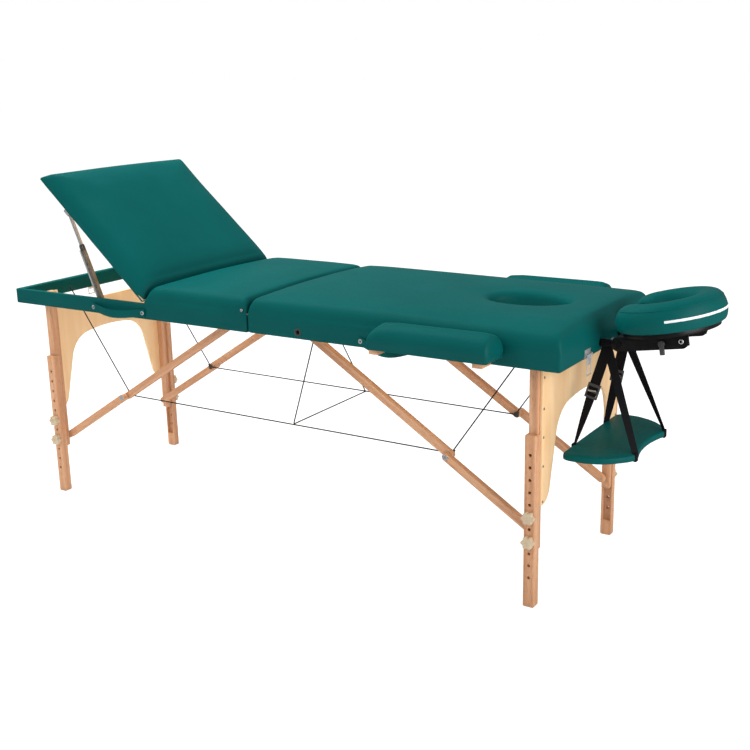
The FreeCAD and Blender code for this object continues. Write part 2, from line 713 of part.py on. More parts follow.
def make_knobs():
    """Six-lobed knobs with bolts through the extensions into the posts."""
    pair = []
    for name in ("knob_low", "knob_high"):
        z = knob_z(name)
        start = "ext_back + 0.3"
        disc = bar(f"Disc_{name}", "knob_radius - 3.5", "y", (EXT_MIDDLE, start, z), "knob_thick")
        shaft = bar(
            f"Shaft_{name}",
            "bolt_radius",
            "y",
            (EXT_MIDDLE, "post_back - 12", z),
            f"{start} - post_back + 13",
        )
        lobes = []
        for at in range(6):
            turned = math.radians(60 * at)
            x = f"{EXT_MIDDLE} + (knob_radius - 5) * {math.cos(turned)}"
            up = f"{z} + (knob_radius - 5) * {math.sin(turned)}"
            lobes.append(bar(f"Lobe_{name}{at}", "5", "y", (x, start, up), "knob_thick"))
        pair.append(fuse(f"Knob_{name}", disc, shaft, *lobes))
    near = [across(item) for item in pair]
    node("head_far_knobs", *pair)
    node("head_near_knobs", *near)
    node("foot_far_knobs", *[footward(item) for item in pair])
    node("foot_near_knobs", *[footward(item) for item in near])


def make_link(name, length, face, hole, way):
    """Brace link with round ends about its pivot, reaching one way along X."""
    half = "link_width / 2"
    y = (face, f"{face} + link_thick")
    span = ("0", length) if way > 0 else (f"-{length}", "0")
    far_x = length if way > 0 else f"-{length}"
    web = block(name + "Web", span, y, (f"-{half}", half))
    root = bar(name + "Root", half, "y", ("0", face, "0"), "link_thick")
    tip = bar(name + "Tip", half, "y", (far_x, face, "0"), "link_thick")
    eye = bar(name + "Eye", hole, "y", ("0", face, "0"), "link_thick")
    link = cut(name, fuse(name + "Bar", web, root, tip), eye)
    return turn(link, LINK_ANGLE)


def make_braces():
    """Two-piece braces, the pins that carry their lower links and the brackets under the decks."""
    upper = make_link("UpperLink", LINK_UP, "link_upper", "pin_radius + 0.08", 1)
    place(upper, "link_place", "0", LEG_Z)
    lower = make_link("LowerLink", LINK_LOW, "link_lower", "pin_radius - 0.42", -1)
    place(lower, "leg_place - link_seat", "0", f"{LEG_Z} - link_drop")
    uppers = both(upper)
    lowers = both(lower)
    pin = bar(
        "LowerPin",
        "pin_radius - 0.5",
        "y",
        ("leg_place - link_seat", "link_lower", f"{LEG_Z} - link_drop"),
        "post_face - link_lower + 11",
    )
    pins = both(pin)
    node("head_upper_braces", *uppers)
    node("head_lower_braces", *lowers, *pins)
    node("foot_upper_braces", *[footward(item) for item in uppers])
    node("foot_lower_braces", *[footward(item) for item in [*lowers, *pins]])


def make_pivots():
    """Leg pivot bolts with spacers, brace brackets under the decks and the prop pins."""
    shaft = bar(
        "LegShaft", "bolt_radius", "y", ("leg_place", "post_face + 8", LEG_Z), f"{INNER} - post_face - 8"
    )
    sleeve = bar(
        "LegSleeve",
        "spacer_radius",
        "y",
        ("leg_place", "post_back + 0.3", LEG_Z),
        f"{INNER} - post_back - 0.3",
    )
    bolts = both(fuse("LegBolt", shaft, sleeve))
    x = ("link_place - 15", "link_place + 15")
    face = "link_upper - 0.3"
    back = "link_upper + link_thick + 0.3"
    z = (f"{LEG_Z} - 10", RAIL_TOP)
    inner = block("CheekInner", x, (f"{face} - sheet_steel", face), z)
    outer = block("CheekOuter", x, (back, f"{back} + sheet_steel - 0.6"), z)
    crown = block(
        "CheekCrown",
        x,
        (f"{face} - sheet_steel", f"{back} + sheet_steel - 0.6"),
        (f"{RAIL_TOP} - sheet_steel", RAIL_TOP),
    )
    pin = bar(
        "CheekPin",
        "pin_radius",
        "y",
        ("link_place", f"{face} - sheet_steel", LEG_Z),
        "link_thick + 2 * sheet_steel",
    )
    brackets = both(fuse("BraceBracket", inner, outer, crown, pin))
    prop = bar(
        "PropPin",
        "pin_radius",
        "y",
        ("-prop_place", "prop_face - 1.5", "rail_bottom + prop_rise"),
        f"{INNER} - prop_face + 1.5",
    )
    node("head_pivot_hardware", *bolts, *brackets)
    feet = [footward(item) for item in [*bolts, *brackets]]
    node("seat_pivot_hardware", *feet, *both(prop))


def make_fold_hinges():
    """Fold hinge leaves on the facing rails and their pins."""
    plates = {"Head": [], "Seat": []}
    pins = []
    for side, middle in (("Far", "leaf_place"), ("Near", "-leaf_place")):
        start = f"{middle} - leaf_length / 2"
        third = "leaf_length / 3"
        pin_start = ("0", f"{start} - 1", AXIS_Z)
        knuckles = {"Head": (0, 2), "Seat": (1,)}
        for owner, places in knuckles.items():
            sign = "" if owner == "Head" else "-"
            low, high = "fold_face - leaf_thick", "fold_face"
            x = (low, high) if owner == "Head" else (f"-({high})", f"-({low})")
            plate = block(
                f"Leaf{owner}{side}",
                x,
                (start, f"{start} + leaf_length"),
                ("rail_bottom + 3", "rail_bottom + 34"),
            )
            for at in places:
                y = f"{start} + {at} * {third} + 0.2"
                tab = block(
                    f"Tab{owner}{side}{at}", x, (y, f"{y} + {third} - 0.4"), (AXIS_Z, "rail_bottom + 3")
                )
                knuckle = ("0", y, AXIS_Z)
                barrel = bar(f"Barrel{owner}{side}{at}", "knuckle_radius", "y", knuckle, f"{third} - 0.4")
                plate = fuse(f"Leaf{owner}{side}Step{at}", plate, tab, barrel)
            bore = bar(f"LeafBore{owner}{side}", "hinge_pin + 0.05", "y", pin_start, "leaf_length + 2")
            plates[owner].append(cut(f"HingeLeaf{owner}{side}", plate, bore))
        pins.append(bar(f"HingePin{side}", "hinge_pin", "y", pin_start, "leaf_length + 2"))
    node("head_hinge_leaves", *plates["Head"])
    node("seat_hinge_leaves", *plates["Seat"])
    node("hinge_pins", *pins)


def make_sockets():
    """Armrest socket bushes in the side rails and sleeves for the cradle rods."""
    bushes = []
    for at in range(3):
        x = bush_x(at)
        inside = (x, "half_width - bush_deep", BUSH_Z)
        tube = bar(f"BushTube{at}", "bush_radius - 0.05", "y", inside, "bush_deep")
        lip = bar(f"BushLip{at}", "bush_flange", "y", (x, "half_width", BUSH_Z), "2")
        bore = bar(f"BushHole{at}", "peg_radius + peg_play", "y", inside, "bush_deep + 2")
        bushes.extend(both(cut(f"Bush{at}", fuse(f"BushBody{at}", tube, lip), bore)))
    node("armrest_bushes", *bushes)
    start = "rod_start - 2"
    sleeve = bar(
        "RodSleeve", "rod_radius + 2.95", "x", (start, "rod_place", ROD_Z), f"half_length - {start}"
    )
    room = bar(
        "RodRoom", "rod_radius + 0.08", "x", (start, "rod_place", ROD_Z), f"half_length - {start}"
    )
    node("cradle_sockets", *both(cut("RodSocket", sleeve, room)))


def carry_strap(first, last, stand, bow, sag, level):
    """Sagging carry strap on the near side, standing off the rail and bowing outwards."""
    wires = []
    face = size.half_width + stand
    thick = size.strap_thick
    for at in range(9):
        share = at / 8
        swell = 1 - (2 * share - 1) ** 2
        x = first + (last - first) * share
        y = -(face + bow * swell)
        low = level - sag * swell - size.strap_wide / 2
        high = low + size.strap_wide
        corners = [(x, y, low), (x, y - thick, low), (x, y - thick, high), (x, y, high), (x, y, low)]
        wires.append(Part.makePolygon([Vector(*corner) for corner in corners]))
    return Part.makeLoft(wires, True, False)


def make_straps():
    """Carry straps of both halves; the seat strap stands further out so that the two pass when folded."""
    start = size.head_strap_start
    end = start + size.head_strap_long
    level = size.rail_bottom + 19
    head = carry_strap(start, end, 0.2, size.head_strap_bow, size.head_strap_sag, level)
    node("head_carry_strap", solid("HeadStrap", head))
    level = size.rail_bottom + 20
    start = -size.seat_strap_start
    end = start - size.seat_strap_long
    stand = size.strap_stand
    seat = carry_strap(end, start, stand, size.seat_strap_bow, size.seat_strap_sag, level)
    for x in (end, start - 12):
        corner = Vector(x, -size.half_width - stand - 0.2, level - 9)
        foot = Part.makeBox(12, stand, size.strap_wide - 6, corner)
        seat = seat.fuse(foot)
    node("seat_carry_strap", solid("SeatStrap", seat))


def make_armrests():
    """Armrest pads on boards whose pegs sit in the side sockets."""
    top = size.rail_bottom + size.bush_rise + size.peg_radius
    ends = ((34, PLAIN_END), (10, PLAIN_END))
    pad = cushion(size.rest_length, size.rest_half, size.rest_pad - 5, 5, *ends, corner=26)
    pad.translate(Vector(size.rest_start, size.rest_middle, top + size.rest_board))
    low = f"{BUSH_Z} + peg_radius"
    board = block(
        "RestBoard",
        ("rest_start + 12", "rest_start + rest_length - 6"),
        ("rest_middle - rest_half + 8", "rest_middle + rest_half - 8"),
        (low, f"{low} + rest_board"),
    )
    pieces = []
    for at in (1, 2):
        x = bush_x(at)
        saddle = block(
            f"RestSaddle{at}",
            (f"{x} - 13", f"{x} + 13"),
            ("rest_middle - 20", "rest_middle + 28"),
            (f"{BUSH_Z} - peg_radius - 3", low),
        )
        bore = bar(f"RestBore{at}", "peg_radius + 0.05", "y", (x, "rest_middle - 20", BUSH_Z), "36")
        peg = bar(
            f"RestPeg{at}",
            "peg_radius",
            "y",
            (x, "half_width - bush_deep + 1", BUSH_Z),
            "rest_middle + 16 - half_width + bush_deep - 1",
        )
        pieces.extend([cut(f"RestBlock{at}", saddle, bore), peg])
    far_pad = solid("RestPad", pad)
    pieces.append(board)
    node("far_armrest_pad", far_pad)
    node("far_armrest_frame", *pieces)
    node("near_armrest_pad", across(far_pad))
    node("near_armrest_frame", *[across(item) for item in pieces])


def make_cradle_frame():
    """Cradle rods with their yoke, then the arms that pivot on it."""
    yoke_end = "yoke_start + yoke_length"
    rods = [
        bar(
            f"CradleRod{sign}",
            "rod_radius",
            "x",
            ("rod_start", f"{sign}rod_place", ROD_Z),
            f"{yoke_end} - rod_start",
        )
        for sign in ("", "-")
    ]
    yoke = block(
        "CradleYoke",
        ("yoke_start", yoke_end),
        ("-arm_place + 0.4", "arm_place - 0.4"),
        (f"{ROD_Z} - 12", f"{ROD_Z} + 16"),
    )
    pivot = bar(
        "CradlePivot",
        "bolt_radius",
        "y",
        ("arm_start", "-arm_place - arm_thick - 2", f"{ROD_Z} + 3"),
        "2 * arm_place + 2 * arm_thick + 4",
    )
    node("cradle_frame", fuse("CradleFrame", *rods, yoke, pivot))
    run = "arm_end - arm_start"
    length = f"hypot({run}; {ARM_RISE})"
    half = "arm_wide / 2"
    web = block("ArmWeb", ("0", length), ("arm_place", "arm_place + arm_thick"), (f"-{half}", half))
    root = bar("ArmRoot", half, "y", ("0", "arm_place", "0"), "arm_thick")
    tip = bar("ArmTip", half, "y", (length, "arm_place", "0"), "arm_thick")
    eyes = [
        bar(f"ArmEye{at}", "bolt_radius + 0.08", "y", (x, "arm_place", "0"), "arm_thick")
        for at, x in enumerate(("0", length))
    ]
    far = cut("CradleArm", fuse("ArmPlate", web, root, tip), *eyes)
    seat = bar("LeverSeat", "3.1", "y", ("110", "-arm_place - arm_thick", "-3"), "arm_thick")
    near = cut("CradleArmNear", mirror("CradleArmCopy", far, Vector(0, 1, 0)), seat)
    tie = bar("ArmTie", "5", "y", ("70", "-arm_place - 1", "0"), "2 * arm_place + 2")
    arms = group("CradleArmSet", fuse("CradleArms", far, near, tie))
    turn(arms, ARM_TURN)
    node("cradle_arms", place(arms, "arm_start", "0", f"{ROD_Z} + 3"))
    hub = bar("LeverHub", "8", "y", ("110", "-arm_place - arm_thick - 7.3", "-3"), "7")
    stub = bar("LeverStub", "3", "y", ("110", "-arm_place - arm_thick - 1", "-3"), "arm_thick")
    grip_y = ("-arm_place - arm_thick - 7.3", "-arm_place - arm_thick - 0.3")
    grip = block("LeverGrip", ("104.5", "115.5"), grip_y, ("-30", "-3"))
    lever = group("CradleLeverSet", fuse("CradleLever", hub, stub, grip))
    turn(lever, ARM_TURN)
    node("cradle_lever", place(lever, "arm_start", "0", f"{ROD_Z} + 3"))


def horseshoe(long, wide, ring, trim):
    """Outline in plan, from the tilt pivot, of a horseshoe open towards the table."""
    angle = math.radians(180 - size.cradle_open - trim)

    def at(a, b, turned):
        return Vector(a * math.cos(turned) - size.cradle_back, b * math.sin(turned), 0)

    def side(a, b, first, last):
        return Part.Arc(at(a, b, first), at(a, b, (first + last) / 2), at(a, b, last))

    inner = (long - ring, wide - ring)
    edges = [
        side(long, wide, -angle, -angle / 3),
        side(long, wide, -angle / 3, angle / 3),
        side(long, wide, angle / 3, angle),
        Part.LineSegment(at(long, wide, angle), at(*inner, angle)),
        side(*inner, angle, angle / 3),
        side(*inner, angle / 3, -angle / 3),
        side(*inner, -angle / 3, -angle),
        Part.LineSegment(at(*inner, -angle), at(long, wide, -angle)),
    ]
    return edges


def ring_wire(turned, width, height):
    """Section of the horseshoe cushion, in the upright plane through its middle."""
    middle_long = size.cradle_long - size.cradle_ring / 2
    middle_wide = size.cradle_wide - size.cradle_ring / 2
    middle = Vector(middle_long * math.cos(turned), middle_wide * math.sin(turned), 0)
    out = Vector(middle_wide * math.cos(turned), middle_long * math.sin(turned), 0)
    out.normalize()

    def at(offset, z):
        point = middle + out * (offset * width / 2)
        return Vector(point.x, point.y, z * height)

    edges = [
        Part.LineSegment(at(-0.86, 0), at(0.86, 0)),
        Part.Arc(at(0.86, 0), at(1.0, 0.42), at(0.62, 0.88)),
        Part.Arc(at(0.62, 0.88), at(0, 1.0), at(-0.62, 0.88)),
        Part.Arc(at(-0.62, 0.88), at(-1.0, 0.42), at(-0.86, 0)),
    ]
    return Part.Wire([edge.toShape() for edge in edges])


def make_cradle_top():
    """Cradle platform with its cheeks and the horseshoe cushion on it, tilted as far as the arms rise."""
    outline = horseshoe(size.cradle_long - 18, size.cradle_wide - 18, size.cradle_ring - 34, 6)
    plate = sketched("CradlePlate", "XY_Plane", outline, "plate_thick")
    plate_z = "plate_rise - arm_end_rise"
    place(plate, "0", "0", plate_z)
    cheek = block("CradleCheek", ("-16", "16"), ("arm_place - 6.9", "arm_place - 0.4"), ("-12", plate_z))
    stud = bar("CradleStud", "bolt_radius", "y", ("0", "arm_place - 2", "0"), "arm_thick + 4")
    cheeks = both(fuse("CradleEar", cheek, stud))
    platform = group("CradlePlatformSet", fuse("CradlePlatform", plate, *cheeks))
    reach = math.radians(180 - size.cradle_open)
    wires = []
    count = 18
    for at in range(count + 1):
        share = 2 * at / count - 1
        fade = 1 - 0.28 * max(0, (abs(share) - 0.86) / 0.14) ** 2
        wires.append(ring_wire(share * reach, size.cradle_ring * fade, size.cradle_high * fade))
    shape = Part.makeLoft(wires, True, False)
    seat_z = size.plate_rise - size.arm_end_rise + size.plate_thick + 0.01
    shape.translate(Vector(-size.cradle_back, 0, seat_z))
    cushion_set = group("CradleCushionSet", solid("CradleCushion", shape))
    for label, obj in (("cradle_platform", platform), ("cradle_cushion", cushion_set)):
        turn(obj, ARM_TURN)
        node(label, place(obj, "arm_end", "0", "rail_bottom + arm_end_rise"))


def band(top, bottom):
    """Straight flat strap between two points, facing sideways."""
    wires = []
    for x, y, z in (top, bottom):
        wide = size.band_wide / 2
        thick = size.band_thick / 2
        corners = [
            (x - wide, y - thick, z),
            (x + wide, y - thick, z),
            (x + wide, y + thick, z),
            (x - wide, y + thick, z),
            (x - wide, y - thick, z),
        ]
        wires.append(Part.makePolygon([Vector(*corner) for corner in corners]))
    return Part.makeLoft(wires, True, True)


def make_sling():
    """Kidney-shaped arm shelf and the two straps that hang it from the cradle rods."""
    edge = [
        (-44, -176),
        (-38, -189),
        (-22, -193),
        (48, -185),
        (104, -141),
        (120, -117),
        (121, -90),
        (108, 0),
        (121, 90),
        (120, 117),
        (104, 141),
        (48, 185),
        (-22, 193),
        (-38, 189),
        (-44, 176),
        (-47, 0),
    ]
    edge = [(size.half_length + x, y, 0) for x, y in edge]
    shelf = sketched("Shelf", "XY_Plane", loop_of(edge, arcs=(1, 3, 5, 7, 9, 11, 13, 15)), "shelf_thick")
    node("sling_shelf", place(shelf, "0", "0", "shelf_top - shelf_thick"))
    z = size.rail_bottom + size.rod_rise
    inner = size.rod_radius + size.loop_play
    outer = inner + size.band_thick
    y = size.rod_place
    wide = 16
    start = Vector(size.loop_place - wide / 2, y, z)
    loop = Part.makeCylinder(outer, wide, start, Vector(1, 0, 0))
    low = z - outer + 1
    front = band((size.loop_place - 1, y, low), (size.half_length - 31, y + 46, size.shelf_top))
    back = band((size.loop_place + 1, y, low), (size.half_length + 105, y + 44, size.shelf_top))
    room = Part.makeCylinder(inner, 60, Vector(size.loop_place - 30, y, z), Vector(1, 0, 0))
    strap = solid("SlingStrap", loop.fuse([front, back]).cut(room))
    node("sling_straps", *both(strap))


def make_latch(name, y, drop):
    """Latch lever with a wire bail on its base, at one place along the head end rail."""
    x = "half_length"
    hub_x = "half_length + 6"
    plate_z = (f"{LATCH_Z} - 9", f"{LATCH_Z} + 14")
    plate = block(f"{name}Plate", (x, f"{x} + 2"), (f"{y} - 18", f"{y} + 18"), plate_z)
    lug_x = (f"{x} + 1", f"{x} + 8.5")
    lug_z = (f"{LATCH_Z} - 4", f"{LATCH_Z} + 4")
    lugs = [
        block(f"{name}Lug{at}", lug_x, (f"{y} + {low}", f"{y} + {low} + 2.5"), lug_z)
        for at, low in enumerate(("-17.5", "15"))
    ]
    hole = bar(f"{name}Hole", "1.55", "y", (hub_x, f"{y} - 19", LATCH_Z), "38")
    base = cut(f"{name}Base", fuse(f"{name}Mount", plate, *lugs), hole)
    pin = bar(f"{name}Pin", "1.5", "y", (hub_x, f"{y} - 17", LATCH_Z), "34")
    hub = bar(f"{name}Hub", "2.6", "y", (hub_x, f"{y} - 14.5", LATCH_Z), "29")
    tongue = block(
        f"{name}Tongue",
        (f"{hub_x} - 1", f"{hub_x} + 1"),
        (f"{y} - 8", f"{y} + 8"),
        (f"{LATCH_Z} - 24", LATCH_Z),
    )
    wires = [
        bar(f"{name}Wire{at}", "1.4", "z", (hub_x, f"{y} + {side}", f"{LATCH_Z} - {drop}"), drop)
        for at, side in enumerate(("-12", "12"))
    ]
    hook = bar(f"{name}Hook", "1.4", "y", (hub_x, f"{y} - 13.4", f"{LATCH_Z} - {drop}"), "26.8")
    return base, fuse(f"{name}Bail", pin, hub, tongue, *wires, hook)


def make_latches():
    """Case latches and keepers on both end rails."""
    head_base, head_bail = make_latch("HeadLatch", "-latch_head", "bail_drop")
    foot_base, foot_bail = make_latch("FootLatch", "latch_foot", "(bail_drop - 10)")
    keeper_x = ("half_length", "half_length + 2.8")
    keeper_z = (f"{LATCH_Z} - 8", f"{LATCH_Z} + 8")
    keepers = [
        block(f"Keeper{at}", keeper_x, (f"{y} - 9", f"{y} + 9"), keeper_z)
        for at, y in enumerate(("latch_foot", "-latch_head"))
    ]
    node("head_latch_plates", head_base, keepers[0])
    node("foot_latch_plates", footward(foot_base), footward(keepers[1]))
    node("head_latch", head_bail)
    node("foot_latch", footward(foot_bail))


def wire_stay(points):
    """Round wire through points, with a ball at each bend."""
    radius = size.cable_radius
    pieces = []
    for first, last in zip(points, points[1:]):
        run = last - first
        pieces.append(Part.makeCylinder(radius, run.Length, first, run))
    for point in points[1:-1]:
        pieces.append(Part.makeSphere(radius, point))
    whole = pieces[0]
    return whole.fuse(pieces[1:]) if len(pieces) > 1 else whole


def make_cables():
    """Wire stays between the elbows, from the elbows to the decks and round the middle."""
    pivot = size.rail_bottom + size.leg_rise
    run = size.leg_place - size.link_seat - size.link_place
    shut = math.hypot(size.leg_place - size.link_drop - size.link_place, size.link_seat)
    reach = (math.hypot(run, size.link_drop) + shut) / 2
    angle = math.atan2(size.link_drop, run)
    x = size.link_place + reach * math.cos(angle)
    z = pivot - reach * math.sin(angle)
    y = size.link_upper - 0.3 - size.cable_radius
    under = size.rail_bottom + size.rail_depth - 1.25
    mains = [
        solid(f"MainStay{way}", wire_stay([Vector(-x, way * y, z), Vector(x, way * y, z)]))
        for way in (1, -1)
    ]
    node("main_stays", *mains)
    crown = size.leg_place - size.stay_inset
    legs = [
        solid(f"LegStay{way}", wire_stay([Vector(x, way * y, z + 4), Vector(crown, way * y, under)]))
        for way in (1, -1)
    ]
    node("head_leg_stays", *legs)
    node("foot_leg_stays", *[footward(item) for item in legs])
    inner = y - 2 * size.cable_radius - 0.2
    middle = [
        Vector(size.centre_near, -inner, under),
        Vector(size.centre_low, -inner, z),
        Vector(size.centre_low, inner, z),
        Vector(-size.centre_far, inner, under),
    ]
    node("centre_stay", solid("CentreStay", wire_stay(middle)))


def write_parts():
    """Check every object, then write one file for each sub-part."""
    doc.recompute()
    for obj in doc.Objects:
        if "Invalid" in obj.State or "Error" in obj.State:
            raise RuntimeError(f"{obj.Label}: {obj.State}")
        shape = getattr(obj, "Shape", None)
        if shape is None or obj.TypeId.startswith("App::"):
            continue
        if shape.isNull() or not shape.isValid():
            raise RuntimeError(f"{obj.Label}: shape is null or not valid")
    os.makedirs("parts", exist_ok=True)
    for obj in nodes:
        if not obj.Shape.Solids:
            raise RuntimeError(f"{obj.Label}: no solid")
        obj.Shape.exportStep(os.path.join("parts", obj.Label + ".step"))


make_rails()
make_decks()
make_pads()
make_backrest()
make_props()
make_leg()
make_extensions()
make_knobs()
make_braces()
make_pivots()
make_fold_hinges()
make_sockets()
make_straps()
make_armrests()
make_cradle_frame()
make_cradle_top()
make_sling()
make_latches()
make_cables()
write_parts()
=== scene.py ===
"""Looks of a portable folding facial bed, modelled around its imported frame.

The frame holds every solid part in place. Here the vinyl covers, timber, straps, wire stays and small
fittings get their finished shapes and materials, with a camera and plain studio light. Lengths are in
metres. X runs from the foot end to the head end, and places along X are measured from the fold line
unless a name says otherwise.
"""
import json
import logging
import math
from dataclasses import dataclass, field
from enum import Enum
from typing import Callable, Iterable, Sequence

import bmesh
import bpy
import numpy as np
from mathutils import Euler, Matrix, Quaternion, Vector

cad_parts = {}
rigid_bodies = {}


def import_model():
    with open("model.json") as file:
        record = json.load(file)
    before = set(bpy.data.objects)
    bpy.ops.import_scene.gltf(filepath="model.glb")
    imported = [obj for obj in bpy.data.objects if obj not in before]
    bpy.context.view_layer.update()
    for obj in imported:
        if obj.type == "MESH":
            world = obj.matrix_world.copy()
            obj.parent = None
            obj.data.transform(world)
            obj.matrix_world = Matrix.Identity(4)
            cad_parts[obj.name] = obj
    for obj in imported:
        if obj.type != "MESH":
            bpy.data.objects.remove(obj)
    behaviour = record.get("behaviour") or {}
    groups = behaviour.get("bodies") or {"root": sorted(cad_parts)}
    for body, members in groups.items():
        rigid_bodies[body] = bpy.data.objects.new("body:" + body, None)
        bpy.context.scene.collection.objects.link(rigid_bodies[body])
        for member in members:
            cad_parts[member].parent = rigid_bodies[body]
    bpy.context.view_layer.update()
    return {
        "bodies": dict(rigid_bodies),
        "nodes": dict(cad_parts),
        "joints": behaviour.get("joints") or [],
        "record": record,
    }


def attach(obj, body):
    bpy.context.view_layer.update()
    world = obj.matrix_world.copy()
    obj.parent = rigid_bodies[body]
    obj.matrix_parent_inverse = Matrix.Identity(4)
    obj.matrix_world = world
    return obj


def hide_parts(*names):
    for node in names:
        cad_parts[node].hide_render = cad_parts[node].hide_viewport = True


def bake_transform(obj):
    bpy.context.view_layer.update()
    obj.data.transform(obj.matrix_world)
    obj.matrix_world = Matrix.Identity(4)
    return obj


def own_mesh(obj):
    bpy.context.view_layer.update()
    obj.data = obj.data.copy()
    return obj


logging.basicConfig(level=logging.INFO, format="%(message)s")
LOG = logging.getLogger("facial_bed")

# Places that several sub-assemblies share
FOLD_X = -0.1398
ELBOW_X = 0.57646
ELBOW_Z = 0.34186
SOCKET_PLACES = (0.172, 0.460, 0.748)
SOCKET_LEVEL = 0.648
ROD_ASIDE = 0.063
ROD_LEVEL = 0.652
CRADLE_X = 1.133
CRADLE_Z = 0.680
BACKREST_TILT = math.radians(42)
BRACE_LEAN = math.radians(57.79)

Piece = bpy.types.Object
Node = bpy.types.Node
Colour = tuple[float, float, float]
Test = Callable[[Vector], bool]


class Side(Enum):
    """Side of the bed, seen from the camera, with the sign of Y on it."""

    NEAR = -1
    FAR = 1

    @property
    def word(self) -> str:
        """How the frame names this side."""
        return self.name.lower()

    @property
    def out(self) -> Vector:
        """Direction that leads out of the bed on this side."""
        return Vector((0, self.value, 0))


class Half(Enum):
    """Half of the bed, with the sign of X on it."""

    HEAD = 1
    FOOT = -1

    @property
    def word(self) -> str:
        """How the frame names the legs and braces of this half."""
        return self.name.lower()


class Grain(Enum):
    """How a piece of timber lies, as the turn that stands its grain upright."""

    UPRIGHT = (0.0, 0.0, 0.0)
    LENGTHWISE = (0.0, math.pi / 2, 0.0)
    ACROSS = (math.pi / 2, 0.0, 0.0)
    HEAD_BRACE = (0.0, BRACE_LEAN, 0.0)
    FOOT_BRACE = (0.0, -BRACE_LEAN, 0.0)


def spot(x: float, y: float, z: float) -> Vector:
    """Point in the row frame from a place measured along X from the fold line.

    Args:
        x: Distance from the fold line towards the head end.
        y: Distance from the middle towards the far side.
        z: Height above the floor.

    Returns:
        The same point in the row frame.
    """
    return Vector((FOLD_X + x, y, z))


def clamp(value: float) -> float:
    """A value held between 0 and 1."""
    return min(1.0, max(0.0, value))


class Graph:
    """Node tree of one material, with a Principled shader at its end."""

    mix_first: int = 6
    mix_second: int = 7
    mix_result: int = 2

    def __init__(self, name: str) -> None:
        """Start an empty material.

        Args:
            name: Name of the material.
        """
        self.material = bpy.data.materials.new(name)
        self.material.use_nodes = True
        self.tree = self.material.node_tree
        self.shader = self.tree.nodes["Principled BSDF"]

    def node(self, kind: str, **values: object) -> Node:
        """Add a node.

        Args:
            kind: Blender's name of the node type.
            values: Input sockets by name, with spaces written as underscores, or properties in lower case.

        Returns:
            The new node.
        """
        made = self.tree.nodes.new(kind)
        for name, value in values.items():
            socket = name.replace("_", " ")
            if socket in made.inputs:
                made.inputs[socket].default_value = value
            else:
                setattr(made, name, value)
        return made

    def wire(self, source: Node, out: str | int, target: Node, into: str | int) -> None:
        """Link an output of one node to an input of another."""
        self.tree.links.new(source.outputs[out], target.inputs[into])

    def shade(self, **values: object) -> None:
        """Set sockets of the shader that are the same all over the surface."""
        for name, value in values.items():
            self.shader.inputs[name.replace("_", " ")].default_value = value

    def place(self, turn: Sequence[float] = (0, 0, 0), scale: Sequence[float] = (1, 1, 1)) -> Node:
        """Object coordinates, turned and then scaled.

        Args:
            turn: Euler angles that stand the pattern upright.
            scale: Scale of the pattern along its own axes.

        Returns:
            The mapping node that gives the coordinates.
        """
        coords = self.node("ShaderNodeTexCoord")
        turned = self.node("ShaderNodeMapping", Rotation=turn)
        scaled = self.node("ShaderNodeMapping", Scale=scale)
        self.wire(coords, "Object", turned, "Vector")
        self.wire(turned, "Vector", scaled, "Vector")
        return scaled

    def texture(self, kind: str, coords: Node, **values: object) -> Node:
        """Texture read at given coordinates.

        Args:
            kind: Last word of Blender's name of the texture, such as "Noise".
            coords: Node that gives the coordinates.
            values: Sockets and properties, as for any node.

        Returns:
            The texture node.
        """
        made = self.node(f"ShaderNodeTex{kind}", **values)
        self.wire(coords, "Vector", made, "Vector")
        return made

    def ramp(self, source: Node, stops: Iterable[tuple[float, Sequence[float]]]) -> Node:
        """Colours that a texture's values pick from a ramp.

        Args:
            source: The texture.
            stops: Position and colour of each stop.

        Returns:
            The ramp node.
        """
        made = self.tree.nodes.new("ShaderNodeValToRGB")
        stops = list(stops)
        while len(made.color_ramp.elements) < len(stops):
            made.color_ramp.elements.new(0.5)
        for element, (position, colour) in zip(made.color_ramp.elements, stops):
            element.position = position
            element.color = (*colour, 1.0)
        self.wire(source, "Fac", made, "Fac")
        return made

    def colour(self, tint: Node) -> None:
        """Colour the surface by a ramp."""
        self.wire(tint, "Color", self.shader, "Base Color")

    def marked_colour(self, tint: Node, marks: Node, share: float) -> None:
        """Colour the surface by a ramp that another ramp darkens.

        Args:
            tint: Ramp of the colour.
            marks: Ramp that darkens it.
            share: How much of the darkening shows.
        """
        mixed = self.node("ShaderNodeMix", data_type="RGBA", blend_type="MULTIPLY")
        mixed.inputs["Factor"].default_value = share
        self.wire(tint, "Color", mixed, self.mix_first)
        self.wire(marks, "Color", mixed, self.mix_second)
        self.wire(mixed, self.mix_result, self.shader, "Base Color")

    def roughness(self, source: Node, low: float, high: float) -> None:
        """Vary the roughness between two limits by a texture.

        Args:
            source: The texture.
            low: Roughness at its value 0.
            high: Roughness at its value 1.
        """
        made = self.node("ShaderNodeMapRange", To_Min=low, To_Max=high)
        self.wire(source, "Fac", made, "Value")
        self.wire(made, "Result", self.shader, "Roughness")

    def bump(self, source: Node, out: str, strength: float, depth: float) -> None:
        """Raise the surface by a texture, on top of what an earlier call raised.

        Args:
            source: Node that gives the height.
            out: Its output.
            strength: Share of the height that shows.
            depth: Height in metres.
        """
        made = self.node("ShaderNodeBump", Strength=strength, Distance=depth)
        self.wire(source, out, made, "Height")
        earlier = self.shader.inputs["Normal"].links
        if earlier:
            self.tree.links.new(earlier[0].from_socket, made.inputs["Normal"])
        self.wire(made, "Normal", self.shader, "Normal")


